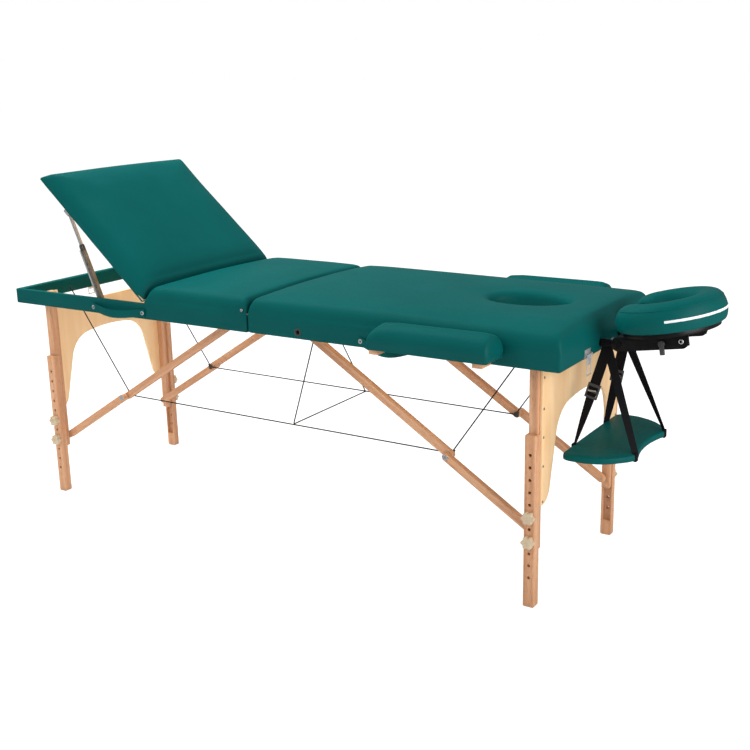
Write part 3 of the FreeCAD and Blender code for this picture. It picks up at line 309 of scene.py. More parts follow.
@dataclass(frozen=True)
class Finish:
    """A finish that pieces take, made into a material once."""

    name: str

    def dress(self, graph: Graph) -> None:
        """Add the nodes of this finish to a material."""

    def material(self) -> bpy.types.Material:
        """The material of this finish, made at its first use.

        Returns:
            The material.
        """
        found = bpy.data.materials.get(self.name)
        if found is None:
            graph = Graph(self.name)
            self.dress(graph)
            found = graph.material
        return found


@dataclass(frozen=True)
class Vinyl(Finish):
    """Soft grained upholstery vinyl over foam."""

    deep: Colour = (0.0002, 0.0765, 0.0735)
    light: Colour = (0.0005, 0.0875, 0.0835)

    def dress(self, graph: Graph) -> None:
        """Leather-like pebbling, a slow change of colour and a satin gloss.

        Args:
            graph: Node tree of the material.
        """
        coords = graph.place()
        slow = graph.texture("Noise", coords, Scale=5.0, Detail=3.0)
        pebble = graph.texture("Voronoi", coords, Scale=620.0, Randomness=1.0)
        crease = graph.texture("Noise", coords, Scale=140.0, Detail=4.0)
        graph.colour(graph.ramp(slow, [(0.3, self.deep), (0.7, self.light)]))
        graph.roughness(crease, 0.4, 0.52)
        graph.bump(pebble, "Distance", 0.16, 0.0003)
        graph.bump(crease, "Fac", 0.12, 0.0006)
        graph.shade(Specular_IOR_Level=0.09)


@dataclass(frozen=True)
class Timber(Finish):
    """Clear lacquered beech with fine flecks along its grain."""

    grain: Grain = Grain.UPRIGHT
    pale: Colour = (0.71, 0.405, 0.23)
    warm: Colour = (0.615, 0.316, 0.167)
    dark: Colour = (0.53, 0.253, 0.126)
    fleck: Colour = (0.7, 0.62, 0.56)

    def dress(self, graph: Graph) -> None:
        """Long drawn-out growth lines, short ray flecks and a thin lacquer.

        Args:
            graph: Node tree of the material.
        """
        along = graph.place(self.grain.value, (55, 55, 2.2))
        lines = graph.texture("Noise", along, Scale=1.0, Detail=5.0, Distortion=0.7)
        short = graph.place(self.grain.value, (620, 620, 60))
        flecks = graph.texture("Noise", short, Scale=1.0, Detail=2.0)
        tint = graph.ramp(lines, [(0.3, self.dark), (0.5, self.warm), (0.68, self.pale)])
        marks = graph.ramp(flecks, [(0.33, self.fleck), (0.43, (1, 1, 1))])
        graph.marked_colour(tint, marks, 0.7)
        graph.roughness(lines, 0.34, 0.48)
        graph.bump(flecks, "Fac", 0.12, 0.0003)
        graph.shade(Coat_Weight=0.15, Coat_Roughness=0.25)


@dataclass(frozen=True)
class Plywood(Finish):
    """Pale lacquered plywood whose plies show on its edges.

    A ply is a band across the thickness, so a face, which lies in one band, stays plain.
    """

    grain: Grain = Grain.UPRIGHT
    through: str = "X"
    ply: float = 0.0016
    pale: Colour = (0.98, 0.715, 0.42)
    warm: Colour = (0.93, 0.63, 0.335)
    glue: Colour = (0.76, 0.66, 0.58)

    def dress(self, graph: Graph) -> None:
        """Broad face grain, with darker plies along the edges.

        Args:
            graph: Node tree of the material.
        """
        along = graph.place(self.grain.value, (26, 26, 2.4))
        figure = graph.texture("Noise", along, Scale=1.0, Detail=6.0, Distortion=1.1)
        bands = math.pi / (10 * self.ply)
        plies = graph.texture("Wave", graph.place(), bands_direction=self.through, Scale=bands)
        tint = graph.ramp(figure, [(0.34, self.warm), (0.66, self.pale)])
        marks = graph.ramp(plies, [(0.0, (1, 1, 1)), (0.6, (1, 1, 1)), (0.9, self.glue)])
        graph.marked_colour(tint, marks, 0.55)
        graph.roughness(figure, 0.36, 0.5)
        graph.bump(figure, "Fac", 0.06, 0.0006)
        graph.shade(Coat_Weight=0.12, Coat_Roughness=0.28)


@dataclass(frozen=True)
class Moulded(Finish):
    """Moulded plastic or powder coat with a fine spark-eroded texture."""

    colour: Colour = (0.005, 0.005, 0.006)
    worn: Colour = (0.010, 0.010, 0.011)
    rough: float = 0.45
    shine: float = 0.22

    def dress(self, graph: Graph) -> None:
        """A little mottling and a fine grain.

        Args:
            graph: Node tree of the material.
        """
        coords = graph.place()
        mottle = graph.texture("Noise", coords, Scale=60.0, Detail=3.0)
        grain = graph.texture("Noise", coords, Scale=1500.0, Detail=2.0)
        graph.colour(graph.ramp(mottle, [(0.3, self.colour), (0.75, self.worn)]))
        graph.roughness(mottle, self.rough - 0.06, self.rough + 0.06)
        graph.bump(grain, "Fac", 0.2, 0.0002)
        graph.shade(Specular_IOR_Level=self.shine)


@dataclass(frozen=True)
class Metal(Finish):
    """Bare, plated or drawn metal with faint drawing marks."""

    colour: Colour = (0.62, 0.61, 0.59)
    dull: Colour = (0.48, 0.47, 0.46)
    rough: float = 0.28

    def dress(self, graph: Graph) -> None:
        """Cloudy plating and fine scratches along Z.

        Args:
            graph: Node tree of the material.
        """
        clouds = graph.texture("Noise", graph.place(), Scale=45.0, Detail=4.0)
        marks = graph.texture("Noise", graph.place(scale=(900, 900, 60)), Scale=1.0, Detail=3.0)
        graph.colour(graph.ramp(clouds, [(0.35, self.dull), (0.7, self.colour)]))
        graph.roughness(clouds, self.rough - 0.08, self.rough + 0.1)
        graph.bump(marks, "Fac", 0.08, 0.0002)
        graph.shade(Metallic=0.6)


@dataclass(frozen=True)
class Webbing(Finish):
    """Woven strap, ribbed across its run."""

    colour: Colour = (0.003, 0.003, 0.004)
    thread: Colour = (0.009, 0.009, 0.012)

    def dress(self, graph: Graph) -> None:
        """A twill of ribs along and across the strap, with a soft sheen.

        Args:
            graph: Node tree of the material.
        """
        coords = graph.place()
        weft = graph.texture("Wave", coords, bands_direction="Z", Scale=230.0, Distortion=0.6)
        warp = graph.texture("Wave", coords, bands_direction="X", Scale=170.0, Distortion=0.6)
        graph.colour(graph.ramp(weft, [(0.2, self.colour), (0.9, self.thread)]))
        graph.bump(weft, "Fac", 0.5, 0.0004)
        graph.bump(warp, "Fac", 0.4, 0.0003)
        graph.shade(Roughness=0.72, Specular_IOR_Level=0.15)


VINYL = Vinyl("teal_vinyl")
UPRIGHT_BEECH = Timber("beech_upright")
LONG_BEECH = Timber("beech_lengthwise", grain=Grain.LENGTHWISE)
CROSS_BEECH = Timber("beech_across", grain=Grain.ACROSS)
BRACE_BEECH = {
    Half.HEAD: Timber("beech_head_brace", grain=Grain.HEAD_BRACE),
    Half.FOOT: Timber("beech_foot_brace", grain=Grain.FOOT_BRACE),
}
LEG_PLY = Plywood("leg_plywood")
DECK_PLY = Plywood("deck_plywood", grain=Grain.ACROSS, through="Z")
KNOB = Moulded("knob_ivory", colour=(0.55, 0.43, 0.285), worn=(0.64, 0.52, 0.36), rough=0.42, shine=0.45)
BLACK_PLASTIC = Moulded("black_plastic")
POWDER_COAT = Moulded(
    "black_powder_coat", colour=(0.004, 0.004, 0.005), worn=(0.008, 0.008, 0.009), rough=0.36, shine=0.26
)
ZINC = Metal("zinc_plate")
CHROME = Metal("bright_chrome", colour=(0.8, 0.8, 0.8), dull=(0.68, 0.68, 0.68), rough=0.16)
PROP_STEEL = Metal("prop_steel", colour=(0.34, 0.3, 0.25), dull=(0.2, 0.17, 0.14), rough=0.34)
WIRE = Metal("coated_wire", colour=(0.05, 0.045, 0.045), dull=(0.025, 0.022, 0.022), rough=0.45)
STRAP = Webbing("black_webbing")
STRIPE = Webbing("white_braid", colour=(0.72, 0.74, 0.76), thread=(0.86, 0.88, 0.9))


class Bench:
    """Modelling steps that the sub-assemblies share, each done with Blender's own operators."""

    frame: dict = {}
    merge_within: float = 0.00002
    flat_within: float = math.radians(0.4)
    sharp_edge: float = math.radians(40)
    eased_shading: float = math.radians(32)
    round_shading: float = 60
    strap_shading: float = 50
    smoothing_rounds: int = 4
    swell_pressure: float = 4.0
    swell_frames: int = 20
    swell_quality: int = 4
    evening_rounds: int = 40

    @staticmethod
    def clear() -> None:
        """Deselect everything."""
        bpy.ops.object.select_all(action="DESELECT")

    @staticmethod
    def solo(obj: Piece) -> Piece:
        """Make one object the only one selected, and the active one.

        Args:
            obj: The object.

        Returns:
            The same object.
        """
        Bench.clear()
        obj.select_set(True)
        bpy.context.view_layer.objects.active = obj
        return obj

    @staticmethod
    def settle(obj: Piece) -> Piece:
        """Move an object's place, turn and scale into its mesh.

        Args:
            obj: The object.

        Returns:
            The same object, at the origin.
        """
        Bench.solo(obj)
        bpy.ops.object.transform_apply(location=True, rotation=True, scale=True)
        return obj

    @staticmethod
    def stand(obj: Piece, turn: Quaternion, place: Vector) -> Piece:
        """Turn an object that was made at the origin, and move it to its place.

        Args:
            obj: The object.
            turn: Its turn.
            place: Where its own origin goes.

        Returns:
            The same object, at the origin with its place in its mesh.
        """
        obj.rotation_mode = "QUATERNION"
        obj.rotation_quaternion = turn
        obj.location = place
        return Bench.settle(obj)

    @staticmethod
    def block(name: str, low: Sequence[float], high: Sequence[float]) -> Piece:
        """Cube between two corners in the row frame.

        Args:
            name: Name of the new object.
            low: Lowest corner.
            high: Highest corner.

        Returns:
            The cube, at the origin with its place in its mesh.
        """
        low, high = Vector(low), Vector(high)
        Bench.clear()
        bpy.ops.mesh.primitive_cube_add(size=1, location=(low + high) / 2)
        made = bpy.context.object
        made.name = name
        made.scale = high - low
        return Bench.settle(made)

    @staticmethod
    def bar(name: str, start: Sequence[float], end: Sequence[float], radius: float, sides: int = 32) -> Piece:
        """Round bar between two points in the row frame.

        Args:
            name: Name of the new object.
            start: Middle of its first end.
            end: Middle of its last end.
            radius: Its radius.
            sides: Facets round it.

        Returns:
            The bar, at the origin with its place in its mesh.
        """
        start, end = Vector(start), Vector(end)
        run = end - start
        Bench.clear()
        bpy.ops.mesh.primitive_cylinder_add(vertices=sides, radius=radius, depth=run.length)
        made = bpy.context.object
        made.name = name
        return Bench.stand(made, run.to_track_quat("Z", "Y"), (start + end) / 2)

    @staticmethod
    def edit(obj: Piece, kind: str) -> None:
        """Open an object in edit mode with nothing selected.

        Args:
            obj: The object.
            kind: What is chosen, VERT, EDGE or FACE.
        """
        Bench.solo(obj)
        bpy.ops.object.mode_set(mode="EDIT")
        bpy.ops.mesh.select_mode(type=kind)
        bpy.ops.mesh.select_all(action="DESELECT")

    @staticmethod
    def pick(obj: Piece, kind: str, test: Test) -> None:
        """Open an object and select the elements whose middle passes a test.

        Args:
            obj: The object.
            kind: VERT, EDGE or FACE.
            test: Says whether a middle is wanted.
        """
        Bench.edit(obj, kind)
        shell = bmesh.from_edit_mesh(obj.data)
        if kind == "VERT":
            for vertex in shell.verts:
                vertex.select_set(test(vertex.co))
        elif kind == "EDGE":
            for edge in shell.edges:
                edge.select_set(test((edge.verts[0].co + edge.verts[1].co) / 2))
        else:
            for face in shell.faces:
                face.select_set(test(face.calc_center_median()))
        shell.select_flush_mode()
        bmesh.update_edit_mesh(obj.data)

    @staticmethod
    def close() -> None:
        """Leave edit mode."""
        bpy.ops.object.mode_set(mode="OBJECT")

    @staticmethod
    def finish_mesh(obj: Piece, angle: float = 35) -> Piece:
        """Turn all faces outwards and smooth the shading.

        Args:
            obj: The object.
            angle: Angle in degrees below which the shading is smooth.

        Returns:
            The same object.
        """
        Bench.edit(obj, "FACE")
        bpy.ops.mesh.select_all(action="SELECT")
        bpy.ops.mesh.normals_make_consistent(inside=False)
        Bench.close()
        bpy.ops.object.shade_smooth_by_angle(angle=math.radians(angle))
        return obj

    @staticmethod
    def apply(obj: Piece, kind: str, **values: object) -> Piece:
        """Add a modifier, set it and apply it.

        Args:
            obj: The object.
            kind: Blender's name of the modifier type.
            values: Its properties.

        Returns:
            The same object.
        """
        Bench.solo(obj)
        made = obj.modifiers.new(kind.lower(), kind)
        for name, value in values.items():
            setattr(made, name, value)
        bpy.ops.object.modifier_apply(modifier=made.name)
        return obj

    @staticmethod
    def ease(obj: Piece, width: float, segments: int = 2) -> Piece:
        """Round the sharp edges of an object.

        Args:
            obj: The object.
            width: Width of the rounding.
            segments: Facets across it.

        Returns:
            The same object.
        """
        limit = {"limit_method": "ANGLE", "angle_limit": Bench.sharp_edge}
        return Bench.apply(obj, "BEVEL", width=width, segments=segments, **limit)

    @staticmethod
    def carve(obj: Piece, tool: Piece) -> Piece:
        """Take a tool's shape out of an object, and remove the tool.

        Args:
            obj: The object.
            tool: The shape that is taken out.

        Returns:
            The same object.
        """
        Bench.apply(obj, "BOOLEAN", operation="DIFFERENCE", object=tool, solver="EXACT")
        bpy.data.objects.remove(tool)
        return obj

    @staticmethod
    def join(pieces: Sequence[Piece], name: str) -> Piece:
        """Join several objects into one.

        Args:
            pieces: The objects.
            name: Name of the joined one.

        Returns:
            The joined object.
        """
        Bench.clear()
        for piece in pieces:
            piece.select_set(True)
        bpy.context.view_layer.objects.active = pieces[0]
        if len(pieces) > 1:
            bpy.ops.object.join()
        made = bpy.context.view_layer.objects.active
        made.name = name
        return made

    @staticmethod
    def twin(source: Piece, name: str) -> Piece:
        """Copy of an object with its own mesh.

        Args:
            source: The object.
            name: Name of the copy.

        Returns:
            The copy.
        """
        made = source.copy()
        made.data = source.data.copy()
        made.name = name
        bpy.context.scene.collection.objects.link(made)
        return made

    @staticmethod
    def copy_node(node: str, name: str) -> Piece:
        """Merged copy of a frame node, with its flat faces made whole.

        Args:
            node: The frame node.
            name: Name of the copy.

        Returns:
            The copy.
        """
        made = bpy.data.objects.new(name, Bench.frame["nodes"][node].data.copy())
        bpy.context.scene.collection.objects.link(made)
        made.data.materials.clear()
        Bench.edit(made, "VERT")
        bpy.ops.mesh.select_all(action="SELECT")
        bpy.ops.mesh.customdata_custom_splitnormals_clear()
        bpy.ops.mesh.remove_doubles(threshold=Bench.merge_within)
        bpy.ops.mesh.dissolve_limited(angle_limit=Bench.flat_within)
        Bench.close()
        return made

    @staticmethod
    def sweep(name: str, stations: Sequence[Sequence[Vector]]) -> Piece:
        """Four-sided strip drawn out through stations, each given by its four corners.

        Args:
            name: Name of the new object.
            stations: Corners of each section, in the same order.

        Returns:
            The closed strip.
        """
        Bench.clear()
        bpy.ops.mesh.primitive_plane_add(size=1)
        made = bpy.context.object
        made.name = name
        Bench.edit(made, "FACE")
        bpy.ops.mesh.select_all(action="SELECT")
        for at, corners in enumerate(stations):
            if at:
                bpy.ops.mesh.extrude_region_move()
            shell = bmesh.from_edit_mesh(made.data)
            face = next(item for item in shell.faces if item.select)
            for vertex, corner in zip(face.verts, corners):
                vertex.co = corner
            bmesh.update_edit_mesh(made.data)
        Bench.close()
        return Bench.finish_mesh(made)

    @staticmethod
    def reskin(forms: Sequence[Piece], name: str, voxel: float) -> Piece:
        """Join forms under one evenly meshed skin.

        Args:
            forms: The forms to join.
            name: Name of the new piece.
            voxel: Size of the new mesh.

        Returns:
            The piece.
        """
        made = Bench.join(forms, name)
        made.data.remesh_voxel_size = voxel
        Bench.solo(made)
        bpy.ops.object.voxel_remesh()
        return Bench.apply(made, "SMOOTH", factor=0.5, iterations=Bench.smoothing_rounds)

    @staticmethod
    def swell(obj: Piece, cap: Sequence[float], held: Test) -> None:
        """Swell a pad as cloth under pressure, then limit and even out how far each point moved.

        Args:
            obj: A remeshed pad.
            cap: Most that a point may move along each axis.
            held: Says which points stay where they are.
        """
        rest = [vertex.co.copy() for vertex in obj.data.vertices]
        group = obj.vertex_groups.new(name="held")
        group.add([at for at, place in enumerate(rest) if held(place)], 1.0, "REPLACE")
        Bench.solo(obj)
        cloth = obj.modifiers.new("cloth", "CLOTH")
        cloth.settings.vertex_group_mass = group.name
        cloth.settings.use_pressure = True
        cloth.settings.uniform_pressure_force = Bench.swell_pressure
        cloth.settings.effector_weights.gravity = 0
        cloth.settings.quality = Bench.swell_quality
        cloth.point_cache.frame_start = 1
        cloth.point_cache.frame_end = Bench.swell_frames
        for frame in range(1, Bench.swell_frames + 1):
            bpy.context.scene.frame_set(frame)
        bpy.ops.object.modifier_apply(modifier=cloth.name)
        bpy.context.scene.frame_set(1)
        moves = np.array([vertex.co - place for vertex, place in zip(obj.data.vertices, rest)])
        moves = np.clip(moves, -np.array(cap), cap)
        free = np.array([[not held(place)] for place in rest])
        links = np.array([edge.vertices[:] for edge in obj.data.edges])
        ends = np.concatenate((links, links[:, ::-1]))
        shares = 1 + np.bincount(ends[:, 0], minlength=len(rest))[:, None]
        for _ in range(Bench.evening_rounds):
            total = moves.copy()
            np.add.at(total, ends[:, 0], moves[ends[:, 1]])
            moves = free * total / shares
        for vertex, place, move in zip(obj.data.vertices, rest, moves):
            vertex.co = place + Vector(move)
        obj.vertex_groups.clear()

    @staticmethod
    def soften(obj: Piece) -> None:
        """Subdivide a pad once and shade it smooth.

        Args:
            obj: The pad.
        """
        Bench.apply(obj, "SUBSURF", levels=1, render_levels=1)
        Bench.solo(obj)
        bpy.ops.object.shade_smooth()

    @staticmethod
    def ready(obj: Piece, body: str, finish: Finish, slot: str, *nodes: str) -> Piece:
        """Dress a finished piece and let it ride on a body.

        Args:
            obj: The piece.
            body: Body of the frame that it moves with.
            finish: Finish that it takes.
            slot: Material slot of the record; not used.
            nodes: Frame nodes that it stands for.

        Returns:
            The piece.
        """
        obj.data.materials.clear()
        obj.data.materials.append(finish.material())
        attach(obj, body)
        if nodes:
            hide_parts(*nodes)
        LOG.info("%s rides on %s", obj.name, body)
        return obj

    @staticmethod
    def group(pieces: Sequence[Piece], name: str, body: str, finish: Finish, slot: str) -> Piece:
        """Join small pieces that belong together, and dress them as one.

        Args:
            pieces: The small pieces.
            name: Name of the joined piece.
            body: Body of the frame that it moves with.
            finish: Finish that it takes.
            slot: Material slot of the record.

        Returns:
            The joined piece.
        """
        made = Bench.finish_mesh(Bench.join(pieces, name))
        return Bench.ready(made, body, finish, slot)

    @staticmethod
    def eased(node: str, body: str, finish: Finish, slot: str, edge: float) -> Piece:
        """Copy of a frame node with its edges eased, standing for it.

        Args:
            node: The frame node.
            body: Body of the frame that it moves with.
            finish: Finish that it takes.
            slot: Material slot of the record.
            edge: Width of its eased edges.

        Returns:
            The copy.
        """
        made = Bench.copy_node(node, f"{node}_eased")
        Bench.ease(made, edge)
        Bench.solo(made)
        bpy.ops.object.shade_smooth_by_angle(angle=Bench.eased_shading)
        return Bench.ready(made, body, finish, slot, node)

    @staticmethod
    def dress_node(node: str, finish: Finish) -> None:
        """Give a frame node that stays in view its finish.

        Args:
            node: The frame node.
            finish: The finish.
        """
        obj = Bench.frame["nodes"][node]
        obj.data.materials.clear()
        obj.data.materials.append(finish.material())


@dataclass(frozen=True)
class ScrewHead:
    """Round screw head with a socket, whose shank ends in the piece below it."""

    radius: float
    height: float
    shank: float = 0.001
    sides: int = 24
    rounding: float = 0.6
    rim: float = 0.22
    socket: float = 0.7
    facets: int = 3
    hair: float = 1e-5

    def master(self, name: str) -> Piece:
        """One head at the origin, facing +Z.

        Args:
            name: Name of the new object.

        Returns:
            The head.
        """
        made = Bench.bar(name, (0, 0, -self.shank), (0, 0, self.height), self.radius, self.sides)
        top = self.height - self.hair
        Bench.pick(made, "FACE", lambda mid: mid.z > top)
        bpy.ops.mesh.bevel(offset=self.height * self.rounding, segments=self.facets)
        Bench.close()
        Bench.pick(made, "FACE", lambda mid: mid.z > top)
        bpy.ops.mesh.inset(thickness=self.radius * self.rim)
        sink = (0, 0, -self.height * self.socket)
        bpy.ops.mesh.extrude_region_move(TRANSFORM_OT_translate={"value": sink})
        Bench.close()
        return Bench.finish_mesh(made)

    def row(self, name: str, places: Sequence[tuple[Vector, Vector]], body: str, finish: Finish) -> None:
        """Several heads as one piece.

        Args:
            name: Name of the piece.
            places: Foot of each head and the way it faces.
            body: Body that they ride on.
            finish: Their finish.
        """
        master = self.master(name)
        copies = []
        for at, (place, way) in enumerate(places):
            one = Bench.twin(master, f"{name}_{at}")
            copies.append(Bench.stand(one, way.to_track_quat("Z", "Y"), place))
        bpy.data.objects.remove(master)
        Bench.ready(Bench.join(copies, name), body, finish, "steel")


@dataclass(frozen=True)
class SoftBox:
    """Square soft box aimed at the middle of the bed; its sheen says whether glossy surfaces mirror it."""

    name: str
    place: tuple[float, float, float]
    size: float
    power: float
    sheen: bool
    target: tuple[float, float, float] = (0, 0, 0.6)

    def hang(self) -> None:
        """Hang the lamp and aim it."""
        data = bpy.data.lights.new(self.name, "AREA")
        data.size = self.size
        data.energy = self.power
        made = bpy.data.objects.new(self.name, data)
        made.location = self.place
        made.visible_glossy = self.sheen
        made.rotation_mode = "QUATERNION"
        made.rotation_quaternion = (Vector(self.target) - Vector(self.place)).to_track_quat("-Z", "Y")
        bpy.context.scene.collection.objects.link(made)


@dataclass
class Studio:
    """Camera, lamps, world and floor."""

    eye: Vector = field(default_factory=lambda: Vector((1.8014, -2.6850, 1.3371)))
    aim: Euler = field(default_factory=lambda: Euler((1.3030, 0.0222, 0.5648)))
    lens: float = 54.75
    sensor: float = 36
    sight: float = 100
    ambient: float = 0.5
    glossy: float = 0.2
    floor_half: float = 30.0
    floor_grey: float = 0.86
    floor_glow: float = 1.28
    glow_share: float = 0.7
    lamps: tuple[SoftBox, ...] = (
        SoftBox("key", (-1.6, -2.9, 3.0), 2.4, 56, sheen=False),
        SoftBox("fill", (3.4, -0.6, 1.5), 2.2, 69, sheen=True),
        SoftBox("top", (-1.9, 0.6, 3.6), 2.6, 195, sheen=False),
    )

    def camera(self) -> None:
        """Camera at the photograph's place and angle."""
        data = bpy.data.cameras.new("camera")
        data.sensor_fit = "HORIZONTAL"
        data.sensor_width = self.sensor
        data.lens = self.lens
        data.clip_end = self.sight
        made = bpy.data.objects.new("camera", data)
        made.location = self.eye
        made.rotation_euler = self.aim
        bpy.context.scene.collection.objects.link(made)
        bpy.context.scene.camera = made

    def world(self) -> None:
        """White world, seen at full strength but lighting and mirrored more gently."""
        world = bpy.data.worlds.new("studio")
        bpy.context.scene.world = world
        world.use_nodes = True
        tree = world.node_tree
        rays = tree.nodes.new("ShaderNodeLightPath")
        seen = tree.nodes.new("ShaderNodeMath")
        seen.operation = "MAXIMUM"
        mirrored = tree.nodes.new("ShaderNodeMapRange")
        mirrored.inputs["To Min"].default_value = self.ambient
        mirrored.inputs["To Max"].default_value = self.glossy
        level = tree.nodes.new("ShaderNodeMapRange")
        level.inputs["To Max"].default_value = 1.0
        ground = tree.nodes["Background"]
        ground.inputs["Color"].default_value = (1, 1, 1, 1)
        tree.links.new(rays.outputs["Is Glossy Ray"], mirrored.inputs["Value"])
        tree.links.new(mirrored.outputs["Result"], level.inputs["To Min"])
        tree.links.new(rays.outputs["Is Camera Ray"], seen.inputs[0])
        tree.links.new(rays.outputs["Is Transmission Ray"], seen.inputs[1])
        tree.links.new(seen.outputs[0], level.inputs["Value"])
        tree.links.new(level.outputs["Result"], ground.inputs["Strength"])

    def floor(self) -> None:
        """Pale floor that keeps a faint shadow."""
        Bench.clear()
        bpy.ops.mesh.primitive_plane_add(size=2 * self.floor_half)
        made = bpy.context.object
        made.name = "floor"
        graph = Graph("pale_floor")
        grey = self.floor_grey
        graph.shade(Base_Color=(grey, grey, grey, 1), Roughness=0.9, Specular_IOR_Level=0.1)
        glow = graph.node("ShaderNodeEmission", Color=(1, 1, 1, 1), Strength=self.floor_glow)
        rays = graph.node("ShaderNodeLightPath")
        share = graph.node("ShaderNodeMath", operation="MULTIPLY")
        share.inputs[1].default_value = self.glow_share
        mixed = graph.node("ShaderNodeMixShader")
        graph.wire(rays, "Is Camera Ray", share, 0)
        graph.wire(share, 0, mixed, "Fac")
        graph.wire(graph.shader, 0, mixed, 1)
        graph.wire(glow, 0, mixed, 2)
        graph.wire(mixed, 0, graph.tree.nodes["Material Output"], "Surface")
        made.data.materials.append(graph.material)
        made.visible_glossy = False

    def build(self) -> None:
        """Set up the whole studio."""
        bpy.context.scene.view_settings.view_transform = "Standard"
        self.camera()
        self.world()
        for lamp in self.lamps:
            lamp.hang()
        self.floor()


@dataclass
class WireStays:
    """Taut wires between the elbows, up to the decks and round the middle."""

    radius: float = 0.0018
    steps_along: int = 12
    steps_round: int = 3
    aside: float = 0.1932
    crown_x: float = 0.806
    crown_z: float = 0.67275
    tie_rise: float = 0.004
    loop_aside: float = 0.190
    loop_x: float = 0.058
    near_crown_x: float = 0.163
    far_crown_x: float = -0.130
    sleeve_long: float = 0.008
    sleeve_radius: float = 0.0034
    sleeve_sides: int = 20
    sleeve_edge: float = 0.001
    ring_radius: float = 0.0085
    ring_faces: tuple[float, float] = (-0.0016, 0.0014)
    ring_edge: float = 0.0006

    def wire(self, name: str, points: Sequence[Vector]) -> tuple[Piece, list[Vector], float]:
        """Round wire that follows a route.

        Args:
            name: Name of the new piece.
            points: Control points of the route.

        Returns:
            The wire as a mesh, the line it follows and the length of that line.
        """
        data = bpy.data.curves.new(name, "CURVE")
        data.dimensions = "3D"
        data.resolution_u = self.steps_along
        spline = data.splines.new("NURBS")
        spline.points.add(len(points) - 1)
        for point, place in zip(spline.points, points):
            point.co = (*place, 1)
        spline.order_u = 3
        spline.use_endpoint_u = True
        route = bpy.data.objects.new(name, data)
        bpy.context.scene.collection.objects.link(route)
        bpy.context.view_layer.update()
        line = [vertex.co.copy() for vertex in bpy.data.meshes.new_from_object(route).vertices]
        data.bevel_depth = self.radius
        data.bevel_resolution = self.steps_round
        data.use_fill_caps = True
        Bench.solo(route)
        bpy.ops.object.convert(target="MESH")
        made = bpy.context.object
        Bench.finish_mesh(made, Bench.round_shading)
        return made, line, sum((b - a).length for a, b in zip(line, line[1:]))

    def string(self, name: str, points: Sequence[Vector]) -> Piece:
        """Wire that is dressed, with its length logged.

        Args:
            name: Name of the new piece.
            points: Control points of its route.

        Returns:
            The wire.
        """
        made, line, length = self.wire(name, points)
        made.data.materials.append(WIRE.material())
        LOG.info("%s is %.3f m long", made.name, length)
        return made

    def straight(self, start: Vector, end: Vector) -> list[Vector]:
        """Route of a straight wire."""
        return [start, (start + end) / 2, end]

    def legs(self, half: Half, side: Side) -> None:
        """Wire from an elbow up to the deck.

        Args:
            half: Half of the bed.
            side: Side of the bed.
        """
        end = half.word
        y = side.value * self.aside
        low = spot(half.value * ELBOW_X, y, ELBOW_Z + self.tie_rise)
        high = spot(half.value * self.crown_x, y, self.crown_z)
        made = self.string(f"{end}_{side.word}_leg_stay", self.straight(high, low))
        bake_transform(made)
        if side is Side.NEAR:
            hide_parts(f"{end}_leg_stays")

    def mains(self, half: Half, side: Side) -> None:
        """One half of a wire from elbow to elbow, riding on the upper braces.

        Args:
            half: Half of the bed.
            side: Side of the bed.
        """
        end = half.word
        y = side.value * self.aside
        elbow = spot(half.value * ELBOW_X, y, ELBOW_Z)
        made = self.string(f"{end}_{side.word}_main_stay", self.straight(elbow, spot(0, y, ELBOW_Z)))
        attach(made, f"{end}_upper_braces")
        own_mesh(made)
        if side is Side.NEAR:
            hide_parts("main_stays")

    def middle(self) -> None:
        """Loop that ties the two long wires together under the fold."""
        x, y, z, top = self.loop_x, self.loop_aside, ELBOW_Z, self.crown_z
        high = spot(self.near_crown_x, -y, top)
        near = [
            high,
            spot(x + 0.005, -y, z + 0.0155),
            spot(x, -y, z),
            spot(x, -y + 0.018, z),
            spot(x, y, z),
        ]
        made = self.string("near_middle_stay", near)
        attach(made, "head_half")
        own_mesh(made)
        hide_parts("centre_stay")
        low, high = spot(x, y, z), spot(self.far_crown_x, y, top)
        made = self.string("far_middle_stay", self.straight(high, low))
        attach(made, "seat_half")
        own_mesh(made)

    def ties(self, half: Half) -> None:
        """Black sleeves and rings where wires meet at the elbows.

        Args:
            half: Half of the bed.
        """
        x = half.value * ELBOW_X
        run = (spot(half.value * self.crown_x, 0, self.crown_z) - spot(x, 0, ELBOW_Z)).normalized()
        pieces = []
        for side in Side:
            middle = spot(x, side.value * self.aside, ELBOW_Z)
            start = middle + run * self.tie_rise
            end = start + run * self.sleeve_long
            sleeve = Bench.bar("sleeve", start, end, self.sleeve_radius, self.sleeve_sides)
            pieces.append(Bench.ease(sleeve, self.sleeve_edge))
            first, last = (middle + side.out * reach for reach in self.ring_faces)
            pieces.append(Bench.ease(Bench.bar("ring", first, last, self.ring_radius), self.ring_edge))
        name = f"{half.word}_stay_sleeves"
        Bench.group(pieces, name, f"{half.word}_upper_braces", BLACK_PLASTIC, "black_plastic")

    def build(self) -> None:
        """String all wires."""
        for half in Half:
            for side in Side:
                self.legs(half, side)
                self.mains(half, side)
            self.ties(half)
        self.middle()


